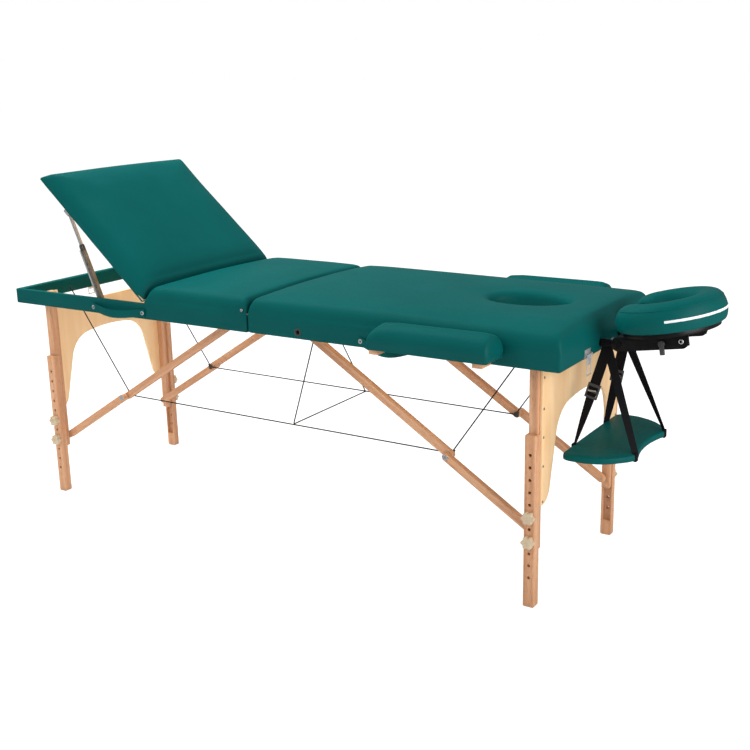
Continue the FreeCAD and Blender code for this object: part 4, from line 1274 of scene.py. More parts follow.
@dataclass
class Timberwork:
    """Legs, braces, boards and decks, with eased edges."""

    edge: float = 0.0016
    fine_edge: float = 0.0012
    knob_edge: float = 0.0014
    deck_edge: float = 0.0008
    leg_x: float = 0.837
    knob_face: float = 0.2893
    knob_levels: tuple[float, float] = (0.1775, 0.2425)
    knob_cap: ScrewHead = ScrewHead(0.0055, 0.0012)
    panel_face: float = 0.8575
    panel_screw_aside: float = 0.2435
    panel_screw_levels: tuple[float, ...] = (0.597, 0.518, 0.445, 0.370, 0.277)
    panel_screw: ScrewHead = ScrewHead(0.0034, 0.001)
    shank_ends: tuple[float, float] = (0.1935, 0.2340)
    shank_radius: float = 0.0030
    elbow_face: float = 0.2330
    edge_on: float = 0.5
    elbow_head: ScrewHead = ScrewHead(0.0085, 0.0016)

    def wrap_edges(self, deck: Piece, tilt: float = 0.0) -> None:
        """Draw the vinyl round the edges of a deck.

        Args:
            deck: The deck.
            tilt: Angle by which its foot end is raised.
        """
        up = Vector((math.sin(tilt), 0, math.cos(tilt)))
        deck.data.materials.append(VINYL.material())
        for face in deck.data.polygons:
            face.material_index = int(abs(face.normal.dot(up)) < self.edge_on)

    def legs(self, half: Half) -> None:
        """Posts, panel, extensions, knobs and braces of one leg set.

        Args:
            half: Half of the bed.
        """
        end, way = half.word, half.value
        body = f"{end}_leg"
        Bench.eased(f"{end}_leg_posts", body, UPRIGHT_BEECH, "beech", self.edge)
        Bench.eased(f"{end}_leg_panel", body, LEG_PLY, "plywood", self.fine_edge)
        for side in Side:
            word = f"{end}_{side.word}"
            Bench.eased(f"{word}_extension", f"{word}_extension", UPRIGHT_BEECH, "beech", self.fine_edge)
            Bench.eased(f"{word}_knobs", f"{word}_knobs", KNOB, "knob_plastic", self.knob_edge)
            face = side.value * self.knob_face
            caps = [(spot(way * self.leg_x, face, z), side.out) for z in self.knob_levels]
            self.knob_cap.row(f"{word}_knob_caps", caps, f"{word}_knobs", KNOB)
        for level in ("upper", "lower"):
            braces = f"{end}_{level}_braces"
            Bench.eased(braces, braces, BRACE_BEECH[half], "beech", self.edge)
        heads = [
            (spot(way * self.panel_face, side.value * self.panel_screw_aside, z), Vector((way, 0, 0)))
            for side in Side
            for z in self.panel_screw_levels
        ]
        self.panel_screw.row(f"{end}_panel_screws", heads, body, PROP_STEEL)

    def elbows(self, half: Half) -> None:
        """Elbow bolts of a pair of braces, with their heads.

        Args:
            half: Half of the bed.
        """
        end = half.word
        middle = spot(half.value * ELBOW_X, 0, ELBOW_Z)
        shanks = []
        heads = []
        for side in Side:
            first, last = (middle + side.out * reach for reach in self.shank_ends)
            shanks.append(Bench.bar("shank", first, last, self.shank_radius))
            heads.append((middle + side.out * self.elbow_face, side.out))
        Bench.group(shanks, f"{end}_elbow_bolts", f"{end}_upper_braces", ZINC, "steel")
        self.elbow_head.row(f"{end}_elbow_heads", heads, f"{end}_lower_braces", CHROME)

    def boards(self) -> None:
        """Decks, fold rails and armrest boards."""
        for half in ("head", "seat"):
            body = f"{half}_half"
            self.wrap_edges(Bench.eased(f"{half}_deck", body, DECK_PLY, "plywood", self.deck_edge))
            Bench.eased(f"{half}_fold_rail", body, CROSS_BEECH, "beech", self.edge)
        back = Bench.eased("backrest_deck", "backrest", DECK_PLY, "plywood", self.deck_edge)
        self.wrap_edges(back, BACKREST_TILT)
        for side in Side:
            body = f"{side.word}_armrest"
            Bench.eased(f"{body}_frame", body, LONG_BEECH, "beech", self.fine_edge)

    def build(self) -> None:
        """Make all timber pieces."""
        for half in Half:
            self.legs(half)
            self.elbows(half)
        self.boards()


@dataclass(frozen=True)
class CarryStrap:
    """Strap that hangs and bows out between its two screwed ends on the near rail.

    The ends lie at the places first and last, standing off the rail at one level, and the middle bows out
    and sags from there.
    """

    name: str
    first: float
    last: float
    stand: float
    bow: float
    sag: float
    level: float
    rail: float = 0.305
    wide: float = 0.022
    thick: float = 0.0026
    lean: float = 0.0022
    fullness: float = 1.3
    steps: int = 24
    edge: float = 0.0008

    def build(self) -> Piece:
        """Draw the strap out from its foot end to its head end.

        Returns:
            The strap.
        """
        stations = []
        for at in range(self.steps + 1):
            share = at / self.steps
            arch = math.sin(math.pi * share)
            swell = arch**self.fullness
            x = self.first + (self.last - self.first) * share
            y = -(self.rail + self.stand + self.bow * swell)
            foot = y - self.lean * arch
            low = self.level - self.sag * swell - self.wide / 2
            high = low + self.wide
            stations.append(
                [
                    spot(x, foot, low),
                    spot(x, foot - self.thick, low),
                    spot(x, y - self.thick, high),
                    spot(x, y, high),
                ]
            )
        made = Bench.sweep(self.name, stations)
        Bench.ease(made, self.edge)
        return Bench.finish_mesh(made, Bench.strap_shading)


@dataclass
class Straps:
    """Carry straps of both halves with their end screws."""

    head: CarryStrap = CarryStrap("head_strap", 0.366, 0.546, 0.0012, 0.010, 0.020, 0.647)
    seat: CarryStrap = CarryStrap("seat_strap", -0.587, -0.376, 0.0044, 0.018, 0.009, 0.648)
    foot_places: tuple[float, float] = (-0.587, -0.388)
    foot_long: float = 0.012
    foot_faces: tuple[float, float] = (-0.3096, -0.3052)
    foot_levels: tuple[float, float] = (0.639, 0.655)
    foot_edge: float = 0.001
    screw: ScrewHead = ScrewHead(0.0062, 0.0024)
    head_screws: tuple[float, float] = (0.373, 0.539)
    seat_screws: tuple[float, float] = (-0.580, -0.383)
    head_screw_face: tuple[float, float] = (-0.3086, 0.6465)
    seat_screw_face: tuple[float, float] = (-0.3118, 0.6475)

    def feet(self) -> list[Piece]:
        """Packings that hold the ends of the seat strap off the rail.

        Returns:
            One packing for each end.
        """
        made = []
        for x in self.foot_places:
            low = spot(x, self.foot_faces[0], self.foot_levels[0])
            high = spot(x + self.foot_long, self.foot_faces[1], self.foot_levels[1])
            made.append(Bench.ease(Bench.block("foot", low, high), self.foot_edge))
        return made

    def build(self) -> None:
        """Make both straps and screw them on."""
        Bench.ready(self.head.build(), "head_half", VINYL, "vinyl", "head_carry_strap")
        seat = Bench.join([self.seat.build(), *self.feet()], "seat_strap")
        Bench.ready(seat, "seat_half", VINYL, "vinyl", "seat_carry_strap")
        for half, places, face in (
            ("head", self.head_screws, self.head_screw_face),
            ("seat", self.seat_screws, self.seat_screw_face),
        ):
            ends = [(spot(x, *face), Side.NEAR.out) for x in places]
            self.screw.row(f"{half}_strap_screws", ends, f"{half}_half", CHROME)


@dataclass
class Sling:
    """Straps that hang the arm shelf from the cradle rods."""

    loop_x: float = 0.945
    loop_half: float = 0.0135
    loop_radius: float = 0.0102
    loop_bore: float = 0.0087
    bore_half: float = 0.03
    loop_sides: int = 40
    hang: float = 0.0088
    front: tuple[float, float] = (0.8835, 0.109)
    back: tuple[float, float] = (1.0425, 0.107)
    shelf_level: float = 0.3915
    band: float = 0.025
    band_low: float = 0.016
    band_doubled: float = 0.027
    band_thick: float = 0.0016
    doubled: float = 2.2
    steps: int = 16
    doubled_twist: float = 0.1
    front_twist: float = 1.0
    back_twist: float = -0.75
    twist_delay: float = 1.5
    buckle_share: float = 0.45
    buckle_half: tuple[float, float, float] = (0.0165, 0.0036, 0.019)
    windows: tuple[tuple[float, float], ...] = ((-0.0135, -0.0035), (0.0025, 0.0115))
    window_half: tuple[float, float] = (0.0128, 0.01)
    buckle_edge: float = 0.0011
    clip_offset: tuple[float, float, float] = (0, -0.0046, 0.002)
    clip_half: float = 0.011
    clip_radius: float = 0.0018
    clip_sides: int = 16
    clip_edge: float = 0.0005
    tabs: tuple[tuple[float, float], ...] = ((0.8815, 0.109), (1.0435, 0.1065))
    tab_half: tuple[float, float] = (0.0045, 0.008)
    tab_levels: tuple[float, float] = (0.3725, 0.3945)
    tab_edge: float = 0.002

    def loop(self, rod: Vector) -> Piece:
        """Loop of strap round a cradle rod.

        Args:
            rod: Middle of the loop.

        Returns:
            The loop.
        """
        half, past = Vector((self.loop_half, 0, 0)), Vector((self.bore_half, 0, 0))
        made = Bench.bar("loop", rod - half, rod + half, self.loop_radius, self.loop_sides)
        bore = Bench.bar("bore", rod - past, rod + past, self.loop_bore, self.loop_sides)
        return Bench.finish_mesh(Bench.carve(made, bore))

    def leg(
        self, name: str, top: Vector, bottom: Vector, twist: float, ends: tuple[float, float],
        layers: float = 1,
    ) -> Piece:
        """Strap between two points, turning and narrowing on its way down.

        Args:
            name: Name of the new piece.
            top: Middle of its upper end.
            bottom: Middle of its lower end.
            twist: Turn of its lower end about the upright.
            ends: Its width at the upper and the lower end.
            layers: How many straps lie on each other.

        Returns:
            The strap.
        """
        stations = []
        for at in range(self.steps + 1):
            share = at / self.steps
            middle = top.lerp(bottom, share)
            turned = twist * share**self.twist_delay
            wide = ends[0] + (ends[1] - ends[0]) * share
            along = Vector((math.cos(turned), math.sin(turned), 0)) * wide / 2
            through = Vector((-math.sin(turned), math.cos(turned), 0)) * layers * self.band_thick / 2
            front = [middle - along - through, middle + along - through]
            stations.append([*front, middle + along + through, middle - along + through])
        return Bench.sweep(name, stations)

    def buckle(self, middle: Vector, run: Vector) -> Piece:
        """Ladder buckle on a strap, with three bars across.

        Args:
            middle: Middle of the buckle.
            run: Direction of the strap.

        Returns:
            The buckle.
        """
        corner = Vector(self.buckle_half)
        made = Bench.block("buckle", -corner, corner)
        wide, deep = self.window_half
        for low, high in self.windows:
            Bench.carve(made, Bench.block("window", (-wide, -deep, low), (wide, deep, high)))
        Bench.ease(made, self.buckle_edge)
        Bench.stand(made, Vector((0, 0, -1)).rotation_difference(run), middle)
        return Bench.finish_mesh(made)

    def clip(self, middle: Vector) -> Piece:
        """Steel bar across a buckle.

        Args:
            middle: Middle of the buckle.

        Returns:
            The bar.
        """
        centre = middle + Vector(self.clip_offset)
        half = Vector((self.clip_half, 0, 0))
        made = Bench.bar("clip", centre - half, centre + half, self.clip_radius, self.clip_sides)
        return Bench.ease(made, self.clip_edge)

    def tab(self, x: float, y: float) -> Piece:
        """Tab that holds the end of a strap on the shelf.

        Args:
            x: Its place along the bed.
            y: Its place across the bed.

        Returns:
            The tab.
        """
        half_x, half_y = self.tab_half
        low, high = self.tab_levels
        made = Bench.block("tab", spot(x - half_x, y - half_y, low), spot(x + half_x, y + half_y, high))
        return Bench.ease(made, self.tab_edge)

    def build(self) -> None:
        """Loops round the rods, four hanging straps, two buckles and the tabs on the shelf."""
        straps = []
        buckles = []
        clips = []
        narrowing = (self.band, self.band_low)
        even = (self.band_doubled, self.band_doubled)
        for side in Side:
            s = side.value
            rod = spot(self.loop_x, s * ROD_ASIDE, ROD_LEVEL)
            straps.append(self.loop(rod))
            top = rod - Vector((0, 0, self.hang))
            front = spot(self.front[0], s * self.front[1], self.shelf_level)
            middle = top.lerp(front, self.buckle_share)
            twist = self.doubled_twist * s
            straps.append(self.leg("sling_front_top", top, middle, twist, even, self.doubled))
            straps.append(self.leg("sling_front", middle, front, self.front_twist * s, narrowing))
            back = spot(self.back[0], s * self.back[1], self.shelf_level)
            straps.append(self.leg("sling_back", top, back, self.back_twist * s, narrowing))
            straps.extend(self.tab(x, s * y) for x, y in self.tabs)
            buckles.append(self.buckle(middle, (front - top).normalized()))
            clips.append(self.clip(middle))
        webbing = Bench.finish_mesh(Bench.join(straps, "sling_webbing"), Bench.strap_shading)
        Bench.ready(webbing, "sling", STRAP, "webbing", "sling_straps")
        Bench.ready(Bench.join(buckles, "sling_buckles"), "sling", BLACK_PLASTIC, "black_plastic")
        Bench.group(clips, "buckle_bars", "sling", ZINC, "steel")


@dataclass
class Fittings:
    """Metal and plastic fittings: cradle frame, props, hinges, latches, sockets."""

    coated: tuple[str, ...] = ("cradle_frame", "cradle_arms", "cradle_platform")
    coated_edge: float = 0.001
    lever_edge: float = 0.0014
    arm_pivot: tuple[float, float, float] = (0.977, 0.0784, 0.655)
    arm_rivet: ScrewHead = ScrewHead(0.0072, 0.002)
    tilt_rivet_aside: float = 0.0774
    tilt_rivet: ScrewHead = ScrewHead(0.0062, 0.0022)
    prop_pivot: tuple[float, float] = (-0.565, 0.650)
    prop_aside: float = 0.2835
    prop_angle: float = math.radians(112.641)
    collar_start: float = 0.172
    collar_long: float = 0.02
    collar_radius: float = 0.0088
    collar_bore: float = 0.0072
    collar_past: float = 0.01
    collar_sides: int = 8
    collar_squeeze: float = 0.79
    collar_edge: float = 0.0006
    tube_gap: float = 0.0115
    tube_start: float = 0.012
    tube_long: float = 0.166
    tube_radius: float = 0.0042
    tube_sides: int = 24
    tube_edge: float = 0.0008
    cap_face: float = 0.2766
    cap_thick: float = 0.0016
    cap_radius: float = 0.0085
    cap_sides: int = 24
    cap_edge: float = 0.0003
    stud_place: tuple[float, float, float] = (-0.016, -0.3062, 0.690)
    stud_head: ScrewHead = ScrewHead(0.0042, 0.0016)

    @staticmethod
    def plain_finishes() -> dict[str, Finish]:
        """Frame nodes that keep their shape, with the finish that each takes.

        Returns:
            A finish for each node.
        """
        zinc = (
            "cradle_sockets",
            "head_hinge_leaves",
            "seat_hinge_leaves",
            "hinge_pins",
            "backrest_hinge_leaves",
            "backrest_brackets",
            "head_latch_plates",
            "foot_latch_plates",
            "head_pivot_hardware",
            "seat_pivot_hardware",
            "prop_rods",
        )
        found: dict[str, Finish] = dict.fromkeys(zinc, ZINC)
        found.update(dict.fromkeys(("head_latch", "foot_latch"), CHROME))
        found["armrest_bushes"] = BLACK_PLASTIC
        found["prop_tubes"] = PROP_STEEL
        return found

    def nodes(self) -> None:
        """Finish the frame nodes that stay as they are, and ease the larger ones."""
        for node, finish in self.plain_finishes().items():
            Bench.dress_node(node, finish)
        for node in self.coated:
            Bench.eased(node, node, POWDER_COAT, "black_metal", self.coated_edge)
        Bench.eased("cradle_lever", "cradle_lever", BLACK_PLASTIC, "black_plastic", self.lever_edge)

    def rivets(self) -> None:
        """Rivet heads at the pivots of the cradle arms and of the platform."""
        x, y, z = self.arm_pivot
        arms = [(spot(x, side.value * y, z), side.out) for side in Side]
        self.arm_rivet.row("cradle_pivot_heads", arms, "cradle_frame", POWDER_COAT)
        tops = [(spot(CRADLE_X, side.value * self.tilt_rivet_aside, CRADLE_Z), side.out) for side in Side]
        self.tilt_rivet.row("cradle_tilt_heads", tops, "cradle_platform", CHROME)

    def collar(self, start: Vector, along: Vector) -> Piece:
        """Collar at the end of a perforated prop, narrower across the bed.

        Args:
            start: Middle of its lower end.
            along: Direction of the prop.

        Returns:
            The collar.
        """
        end = start + along * self.collar_long
        made = Bench.bar("collar", start, end, self.collar_radius, self.collar_sides)
        first = start - along * self.collar_past
        last = start + along * (self.collar_long + self.collar_past)
        Bench.carve(made, Bench.bar("room", first, last, self.collar_bore, self.collar_sides))
        for vertex in made.data.vertices:
            vertex.co.y = start.y + (vertex.co.y - start.y) * self.collar_squeeze
        return Bench.ease(made, self.collar_edge)

    def props(self) -> None:
        """Collars and spring tubes beside the perforated props."""
        along = Vector((math.cos(self.prop_angle), 0, math.sin(self.prop_angle)))
        aside = Vector((math.sin(self.prop_angle), 0, -math.cos(self.prop_angle)))
        collars = []
        tubes = []
        for side in Side:
            foot = spot(self.prop_pivot[0], side.value * self.prop_aside, self.prop_pivot[1])
            collars.append(self.collar(foot + along * self.collar_start, along))
            start = foot - aside * self.tube_gap + along * self.tube_start
            end = start + along * self.tube_long
            tube = Bench.bar("spring_tube", start, end, self.tube_radius, self.tube_sides)
            tubes.append(Bench.ease(tube, self.tube_edge))
        Bench.group(collars, "prop_collars", "prop_tubes", BLACK_PLASTIC, "black_plastic")
        Bench.group(tubes, "prop_spring_tubes", "prop_tubes", CHROME, "steel")

    def socket_caps(self) -> None:
        """Blind ends of the armrest sockets."""
        caps = []
        for side in Side:
            for x in SOCKET_PLACES:
                start = spot(x, side.value * self.cap_face, SOCKET_LEVEL)
                end = start + side.out * self.cap_thick
                cap = Bench.bar("cap", start, end, self.cap_radius, self.cap_sides)
                caps.append(Bench.ease(cap, self.cap_edge, 1))
        Bench.group(caps, "socket_caps", "head_half", BLACK_PLASTIC, "black_plastic")

    def stud(self) -> None:
        """Small stud on the near side of the seat, by the fold."""
        self.stud_head.row("seat_stud", [(spot(*self.stud_place), Side.NEAR.out)], "seat_half", ZINC)

    def build(self) -> None:
        """Finish all fittings."""
        self.nodes()
        self.rivets()
        self.props()
        self.socket_caps()
        self.stud()


@dataclass
class SmallPads:
    """Armrest pads, cradle cushion and arm shelf, each a small stuffed pad."""

    voxel: float = 0.0046
    tilt: float = math.atan2(0.025, 0.156)
    wrap_run: tuple[float, float] = (0.448, 0.7815)
    wrap_reach: tuple[float, float] = (0.3145, 0.4005)
    wrap_levels: tuple[float, float] = (0.6528, 0.674)
    wrap_edge: float = 0.003
    armrest_swell: float = 0.0025
    armrest_still: float = 0.662
    cushion_swell: float = 0.004
    cushion_still: float = 0.037
    cushion_back: float = 0.046
    plump_rise: float = 0.009
    plump_from: float = 0.0315
    plump_depth: float = 0.06
    plump_behind: float = 0.15
    plump_run: float = 0.2
    stripe_rise: float = 0.062
    stripe_wide: float = 0.0075
    stripe_thick: float = 0.0008
    stripe_off: float = 0.0003
    stripe_radii: tuple[float, float] = (0.150, 0.165)
    stripe_cut: float = 0.034
    stripe_sides: int = 144
    stripe_rows: int = 3
    welt_rise: float = 0.091
    welt_radius: float = 0.0013
    welt_radii: tuple[float, float] = (0.131, 0.146)
    welt_cut: float = -0.100
    welt_sides: int = 180
    welt_smoothing: int = 6
    shelf_swell: float = 0.003
    shelf_still: float = 0.376
    shelf_smoothing: int = 8

    def pad(self, node: str, forms: Sequence[Piece], name: str, cap: float, held: Test) -> Piece:
        """Swollen copy of a soft frame node, joined with the forms that its cover wraps.

        Args:
            node: The frame node.
            forms: What else the cover wraps.
            name: Name of the new piece.
            cap: Most that a point may move along each axis.
            held: Says which points stay.

        Returns:
            The pad.
        """
        made = Bench.reskin([Bench.copy_node(node, name), *forms], name, self.voxel)
        Bench.swell(made, (cap, cap, cap), held)
        return made

    def armrest(self, side: Side) -> None:
        """Armrest pad whose cover is drawn down over the edges of its board.

        Args:
            side: Side of the bed.
        """
        body = f"{side.word}_armrest"
        reach = sorted(side.value * far for far in self.wrap_reach)
        low, high = (spot(x, y, z) for x, y, z in zip(self.wrap_run, reach, self.wrap_levels))
        wrap = Bench.ease(Bench.block("wrap", low, high), self.wrap_edge)
        made = self.pad(
            f"{body}_pad", [wrap], f"{body}_cushion", self.armrest_swell, lambda at: at.z < self.armrest_still
        )
        Bench.soften(made)
        Bench.ready(made, body, VINYL, "vinyl", f"{body}_pad")

    def over_platform(self, at: Vector) -> float:
        """Height of a point over the tilted line through the cradle's pivot."""
        return at.z - CRADLE_Z - math.tan(self.tilt) * (at.x - FOLD_X - CRADLE_X)

    def plump(self, cushion: Piece) -> None:
        """Fill the head end of the cradle cushion more than its two ends.

        Args:
            cushion: The cushion.
        """
        for vertex in cushion.data.vertices:
            level = self.over_platform(vertex.co) - self.plump_from
            along = clamp((vertex.co.x - FOLD_X - CRADLE_X + self.plump_behind) / self.plump_run)
            vertex.co.z += self.plump_rise * along * clamp(level / self.plump_depth)

    def hoop(self, name: str, sides: int, level: float, radii: tuple[float, float], cut: float) -> Piece:
        """Oval line about the middle of the cushion, cut open and left in edit mode.

        Args:
            name: Name of the new object.
            sides: Points round the whole oval.
            level: Its height over the tilt pivot.
            radii: Its radii along and across the bed.
            cut: Where it ends, from the middle of the cushion towards the head end.

        Returns:
            The line, made about the tilt pivot.
        """
        Bench.clear()
        bpy.ops.mesh.primitive_circle_add(vertices=sides, radius=1, location=(-self.cushion_back, 0, level))
        made = bpy.context.object
        made.name = name
        made.scale = (*radii, 1)
        Bench.settle(made)
        Bench.pick(made, "VERT", lambda at: at.x < cut - self.cushion_back)
        bpy.ops.mesh.delete(type="VERT")
        return made

    def lay_on(self, line: Piece, cushion: Piece, offset: float) -> None:
        """Tilt a line made about the tilt pivot, move it there and lay it on the cushion.

        Args:
            line: The line.
            cushion: The cushion.
            offset: How far off the cushion it lies.
        """
        line.rotation_euler = (0, -self.tilt, 0)
        line.location = spot(CRADLE_X, 0, CRADLE_Z)
        Bench.settle(line)
        Bench.apply(line, "SHRINKWRAP", target=cushion, wrap_method="NEAREST_SURFACEPOINT", offset=offset)

    def stripe(self, cushion: Piece) -> None:
        """White braid sewn round the head side of the cradle cushion.

        Args:
            cushion: The cushion.
        """
        low = self.stripe_rise - self.stripe_wide / 2
        made = self.hoop("cradle_stripe", self.stripe_sides, low, self.stripe_radii, self.stripe_cut)
        bpy.ops.mesh.select_all(action="SELECT")
        row = (0, 0, self.stripe_wide / self.stripe_rows)
        for _ in range(self.stripe_rows):
            bpy.ops.mesh.extrude_edges_move(TRANSFORM_OT_translate={"value": row})
        Bench.close()
        self.lay_on(made, cushion, self.stripe_off)
        Bench.finish_mesh(made, Bench.round_shading)
        Bench.apply(made, "SOLIDIFY", thickness=self.stripe_thick, offset=0)
        Bench.finish_mesh(made, Bench.round_shading)
        Bench.ready(made, "cradle_platform", STRIPE, "webbing")

    def welt(self, cushion: Piece) -> None:
        """Thin welt along the outer upper edge of the cradle cushion.

        Args:
            cushion: The cushion.
        """
        made = self.hoop("cradle_welt", self.welt_sides, self.welt_rise, self.welt_radii, self.welt_cut)
        Bench.close()
        self.lay_on(made, cushion, 0.0)
        Bench.apply(made, "SMOOTH", factor=0.5, iterations=self.welt_smoothing)
        Bench.solo(made)
        bpy.ops.object.convert(target="CURVE")
        made = bpy.context.object
        made.data.bevel_depth = self.welt_radius
        made.data.bevel_resolution = 2
        made.data.use_fill_caps = True
        bpy.ops.object.convert(target="MESH")
        made = Bench.finish_mesh(bpy.context.object, Bench.round_shading)
        Bench.ready(made, "cradle_platform", VINYL, "vinyl")

    def cradle(self) -> None:
        """Ring cushion of the cradle, with its stripe and welt."""
        cushion = self.pad(
            "cradle_cushion", [], "cradle_ring_cushion", self.cushion_swell,
            lambda at: self.over_platform(at) < self.cushion_still,
        )
        self.plump(cushion)
        Bench.soften(cushion)
        Bench.ready(cushion, "cradle_platform", VINYL, "vinyl", "cradle_cushion")
        self.stripe(cushion)
        self.welt(cushion)

    def shelf(self) -> None:
        """Padded shelf of the arm sling."""
        made = self.pad(
            "sling_shelf", [], "arm_shelf", self.shelf_swell, lambda at: at.z < self.shelf_still
        )
        rounds = self.shelf_smoothing
        Bench.apply(made, "SMOOTH", factor=0.5, iterations=rounds, use_x=False, use_y=False)
        Bench.soften(made)
        Bench.ready(made, "sling", VINYL, "vinyl", "sling_shelf")

    def build(self) -> None:
        """Make all small pads."""
        for side in Side:
            self.armrest(side)
        self.cradle()
        self.shelf()


@dataclass
class Upholstery:
    """Vinyl covers of the two halves, padded over their rails and decks.

    The sizes named still say which points keep their place when a pad swells.
    """

    skin: float = 0.3064
    inner: float = 0.2908
    low: float = 0.6284
    lap: float = 0.688
    lap_round: float = 0.007
    hair: float = 0.001
    voxel: float = 0.0085
    most_swell: tuple[float, float, float] = (0.003, 0.0035, 0.006)
    still_level: float = 0.687
    still_at_fold: float = 0.016
    still_at_hinge: float = 0.345
    head_skirt: tuple[float, float] = (0.001, 0.9255)
    end_skirt: tuple[float, float] = (0.9052, 0.9264)
    seat_skirt: tuple[float, float] = (-0.381, -0.001)
    hole: tuple[float, float, float] = (0.705, 0.110, 0.078)
    rim_level: float = 0.70
    rim_start: float = 0.96
    rim_reach: float = 0.24
    rim_drop: float = 0.017
    socket_start: float = 0.28
    socket_long: float = 0.04
    socket_radius: float = 0.0089
    rod_start: float = 0.895
    rod_long: float = 0.045
    rod_radius: float = 0.0099
    rail_run: tuple[float, float] = (-0.9262, -0.0015)
    rail_skin: float = 0.306
    rail_top: float = 0.6736
    room_run: tuple[float, float] = (-0.9052, 0.05)
    room_half: float = 0.2912
    room_levels: tuple[float, float] = (0.6, 0.7)
    rail_edge: float = 0.0028

    def draw_in(self, skirt: Piece, outside: Test) -> Piece:
        """Round the upper outer edge of a skirt, where it is drawn in to meet the pad.

        Args:
            skirt: The skirt.
            outside: Says whether the middle of an edge lies on the outer face.

        Returns:
            The skirt.
        """
        top = self.lap - self.hair
        Bench.pick(skirt, "EDGE", lambda mid: mid.z > top and outside(mid))
        bpy.ops.mesh.bevel(offset=self.lap_round, segments=2)
        Bench.close()
        return skirt

    def skirts(self, first: float, last: float) -> list[Piece]:
        """Both side skirts between two places along the bed.

        Args:
            first: Their foot end.
            last: Their head end.

        Returns:
            The skirts.
        """
        made = []
        rim = self.skin - self.hair
        for side in Side:
            faces = sorted((side.value * self.inner, side.value * self.skin))
            low, high = spot(first, faces[0], self.low), spot(last, faces[1], self.lap)
            skirt = Bench.block(f"skirt_{side.word}", low, high)
            made.append(self.draw_in(skirt, lambda mid, s=side.value: s * mid.y > rim))
        return made

    def roll_rim(self, cover: Piece) -> None:
        """Round the rim of the breath hole downwards, as stretched vinyl does.

        Args:
            cover: Cover of the head half.
        """
        place, long, wide = self.hole
        for vertex in cover.data.vertices:
            if vertex.co.z < self.rim_level:
                continue
            away = math.hypot((vertex.co.x - FOLD_X - place) / long, vertex.co.y / wide)
            share = clamp((away - self.rim_start) / self.rim_reach)
            vertex.co.z -= self.rim_drop * (1 - share) ** 2

    def bores(self, cover: Piece) -> None:
        """Holes for the armrest sockets and the cradle rods.

        Args:
            cover: Cover of the head half.
        """
        for side in Side:
            for x in SOCKET_PLACES:
                start = spot(x, side.value * self.socket_start, SOCKET_LEVEL)
                end = start + side.out * self.socket_long
                Bench.carve(cover, Bench.bar("bore", start, end, self.socket_radius))
            start = spot(self.rod_start, side.value * ROD_ASIDE, ROD_LEVEL)
            end = start + Vector((self.rod_long, 0, 0))
            Bench.carve(cover, Bench.bar("bore", start, end, self.rod_radius))

    def head(self) -> None:
        """Cover of the head half, with the breath hole and the holes for sockets and cradle rods."""
        pad = Bench.copy_node("head_pad", "head_cover")
        sides = self.skirts(*self.head_skirt)
        first, last = self.end_skirt
        end = Bench.block("skirt_end", spot(first, -self.skin, self.low), spot(last, self.skin, self.lap))
        self.draw_in(end, lambda mid: mid.x > FOLD_X + last - self.hair)
        cover = Bench.reskin([pad, *sides, end], "head_cover", self.voxel)
        fold = FOLD_X + self.still_at_fold
        Bench.swell(cover, self.most_swell, lambda at: at.z < self.still_level or at.x < fold)
        self.roll_rim(cover)
        Bench.soften(cover)
        self.bores(cover)
        Bench.ready(cover, "head_half", VINYL, "vinyl", "head_pad", "head_side_rails", "head_end_rail")

    def seat(self) -> None:
        """Cover of the seat."""
        pad = Bench.copy_node("seat_pad", "seat_cover")
        cover = Bench.reskin([pad, *self.skirts(*self.seat_skirt)], "seat_cover", self.voxel)
        hinge, fold = FOLD_X - self.still_at_hinge, FOLD_X - self.still_at_fold
        Bench.swell(
            cover, self.most_swell, lambda at: at.z < self.still_level or at.x > fold or at.x < hinge
        )
        Bench.soften(cover)
        Bench.ready(cover, "seat_half", VINYL, "vinyl", "seat_pad")

    def rails(self) -> None:
        """Covered rails that carry on from the seat to the foot end."""
        first, last = self.rail_run
        low, high = spot(first, -self.rail_skin, self.low), spot(last, self.rail_skin, self.rail_top)
        made = Bench.block("rail_cover", low, high)
        first, last = self.room_run
        bottom, top = self.room_levels
        room = Bench.block("rail_room", spot(first, -self.room_half, bottom), spot(last, self.room_half, top))
        Bench.carve(made, room)
        Bench.ease(made, self.rail_edge, 3)
        Bench.finish_mesh(made)
        Bench.ready(made, "seat_half", VINYL, "vinyl", "seat_side_rails", "foot_end_rail")

    def build(self) -> None:
        """Make the covers of both halves."""
        self.head()
        self.seat()
        self.rails()


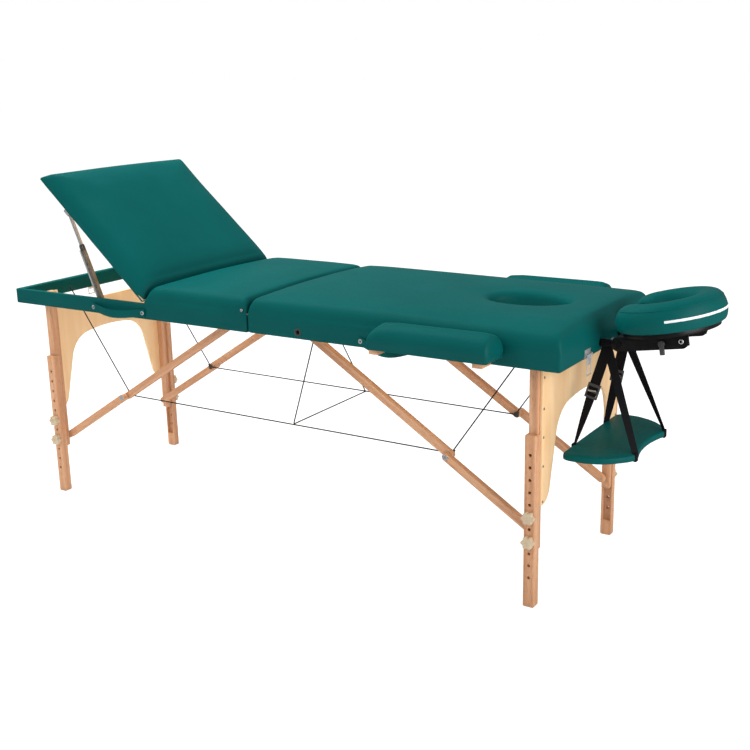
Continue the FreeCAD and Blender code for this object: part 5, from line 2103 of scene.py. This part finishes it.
@dataclass
class Backrest:
    """Backrest cushion, lapped over the edges of its deck.

    Its sizes are measured from the hinge, along the deck, across the bed and up from the deck.
    """

    hinge_x: float = -0.385
    hinge_z: float = 0.6773
    length: float = 0.516
    skin: float = 0.3064
    lap_skin: float = 0.3062
    lap_inner: float = 0.288
    lap_start: float = 0.03
    end_lap_start: float = 0.494
    lap_levels: tuple[float, float] = (-0.0033, 0.014)
    voxel: float = 0.0085
    most_swell: tuple[float, float, float] = (0.0045, 0.003, 0.0045)
    still_at_hinge: float = 0.045
    still_at_deck: float = 0.009
    crown_reach: float = 0.075
    crown_drop: float = 0.02
    crown_depth: float = 0.05

    def laps(self, hinge: Vector) -> list[Piece]:
        """Strips of vinyl drawn down over the sides and the end of the deck.

        Args:
            hinge: Middle of the hinge line.

        Returns:
            The strips.
        """
        low, high = self.lap_levels
        made = []
        for name, near, far, start in (
            ("lap_near", -self.lap_skin, -self.lap_inner, self.lap_start),
            ("lap_far", self.lap_inner, self.lap_skin, self.lap_start),
            ("lap_end", -self.lap_skin, self.lap_skin, self.end_lap_start),
        ):
            lap = Bench.block(name, (-self.length, near, low), (-start, far, high))
            lap.rotation_euler = (0, BACKREST_TILT, 0)
            lap.location = hinge
            made.append(Bench.settle(lap))
        return made

    def build(self) -> None:
        """Make the cushion."""
        hinge = spot(self.hinge_x, 0, self.hinge_z)
        along = Vector((-math.cos(BACKREST_TILT), 0, math.sin(BACKREST_TILT)))
        up = Vector((math.sin(BACKREST_TILT), 0, math.cos(BACKREST_TILT)))
        laps = self.laps(hinge)
        pad = Bench.copy_node("backrest_pad", "backrest_cushion")
        cushion = Bench.reskin([pad, *laps], "backrest_cushion", self.voxel)

        def held(at: Vector) -> bool:
            """Whether a point is at the deck or at the hinge."""
            place = at - hinge
            return place.dot(along) < self.still_at_hinge or place.dot(up) < self.still_at_deck

        Bench.swell(cushion, self.most_swell, held)
        for vertex in cushion.data.vertices:
            place = vertex.co - hinge
            from_edge = min(self.skin - abs(place.y), self.length - place.dot(along))
            share = 1 - clamp(from_edge / self.crown_reach)
            depth = clamp(place.dot(up) / self.crown_depth)
            vertex.co -= up * self.crown_drop * depth * share**2
        Bench.soften(cushion)
        Bench.ready(cushion, "backrest", VINYL, "vinyl", "backrest_pad")


def main() -> None:
    """Build the whole scene around the frame."""
    for item in list(bpy.data.objects):
        bpy.data.objects.remove(item)
    Bench.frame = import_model()
    Studio().build()
    WireStays().build()
    Timberwork().build()
    Straps().build()
    Sling().build()
    Fittings().build()
    SmallPads().build()
    Upholstery().build()
    Backrest().build()


if __name__ == "__main__":
    main()
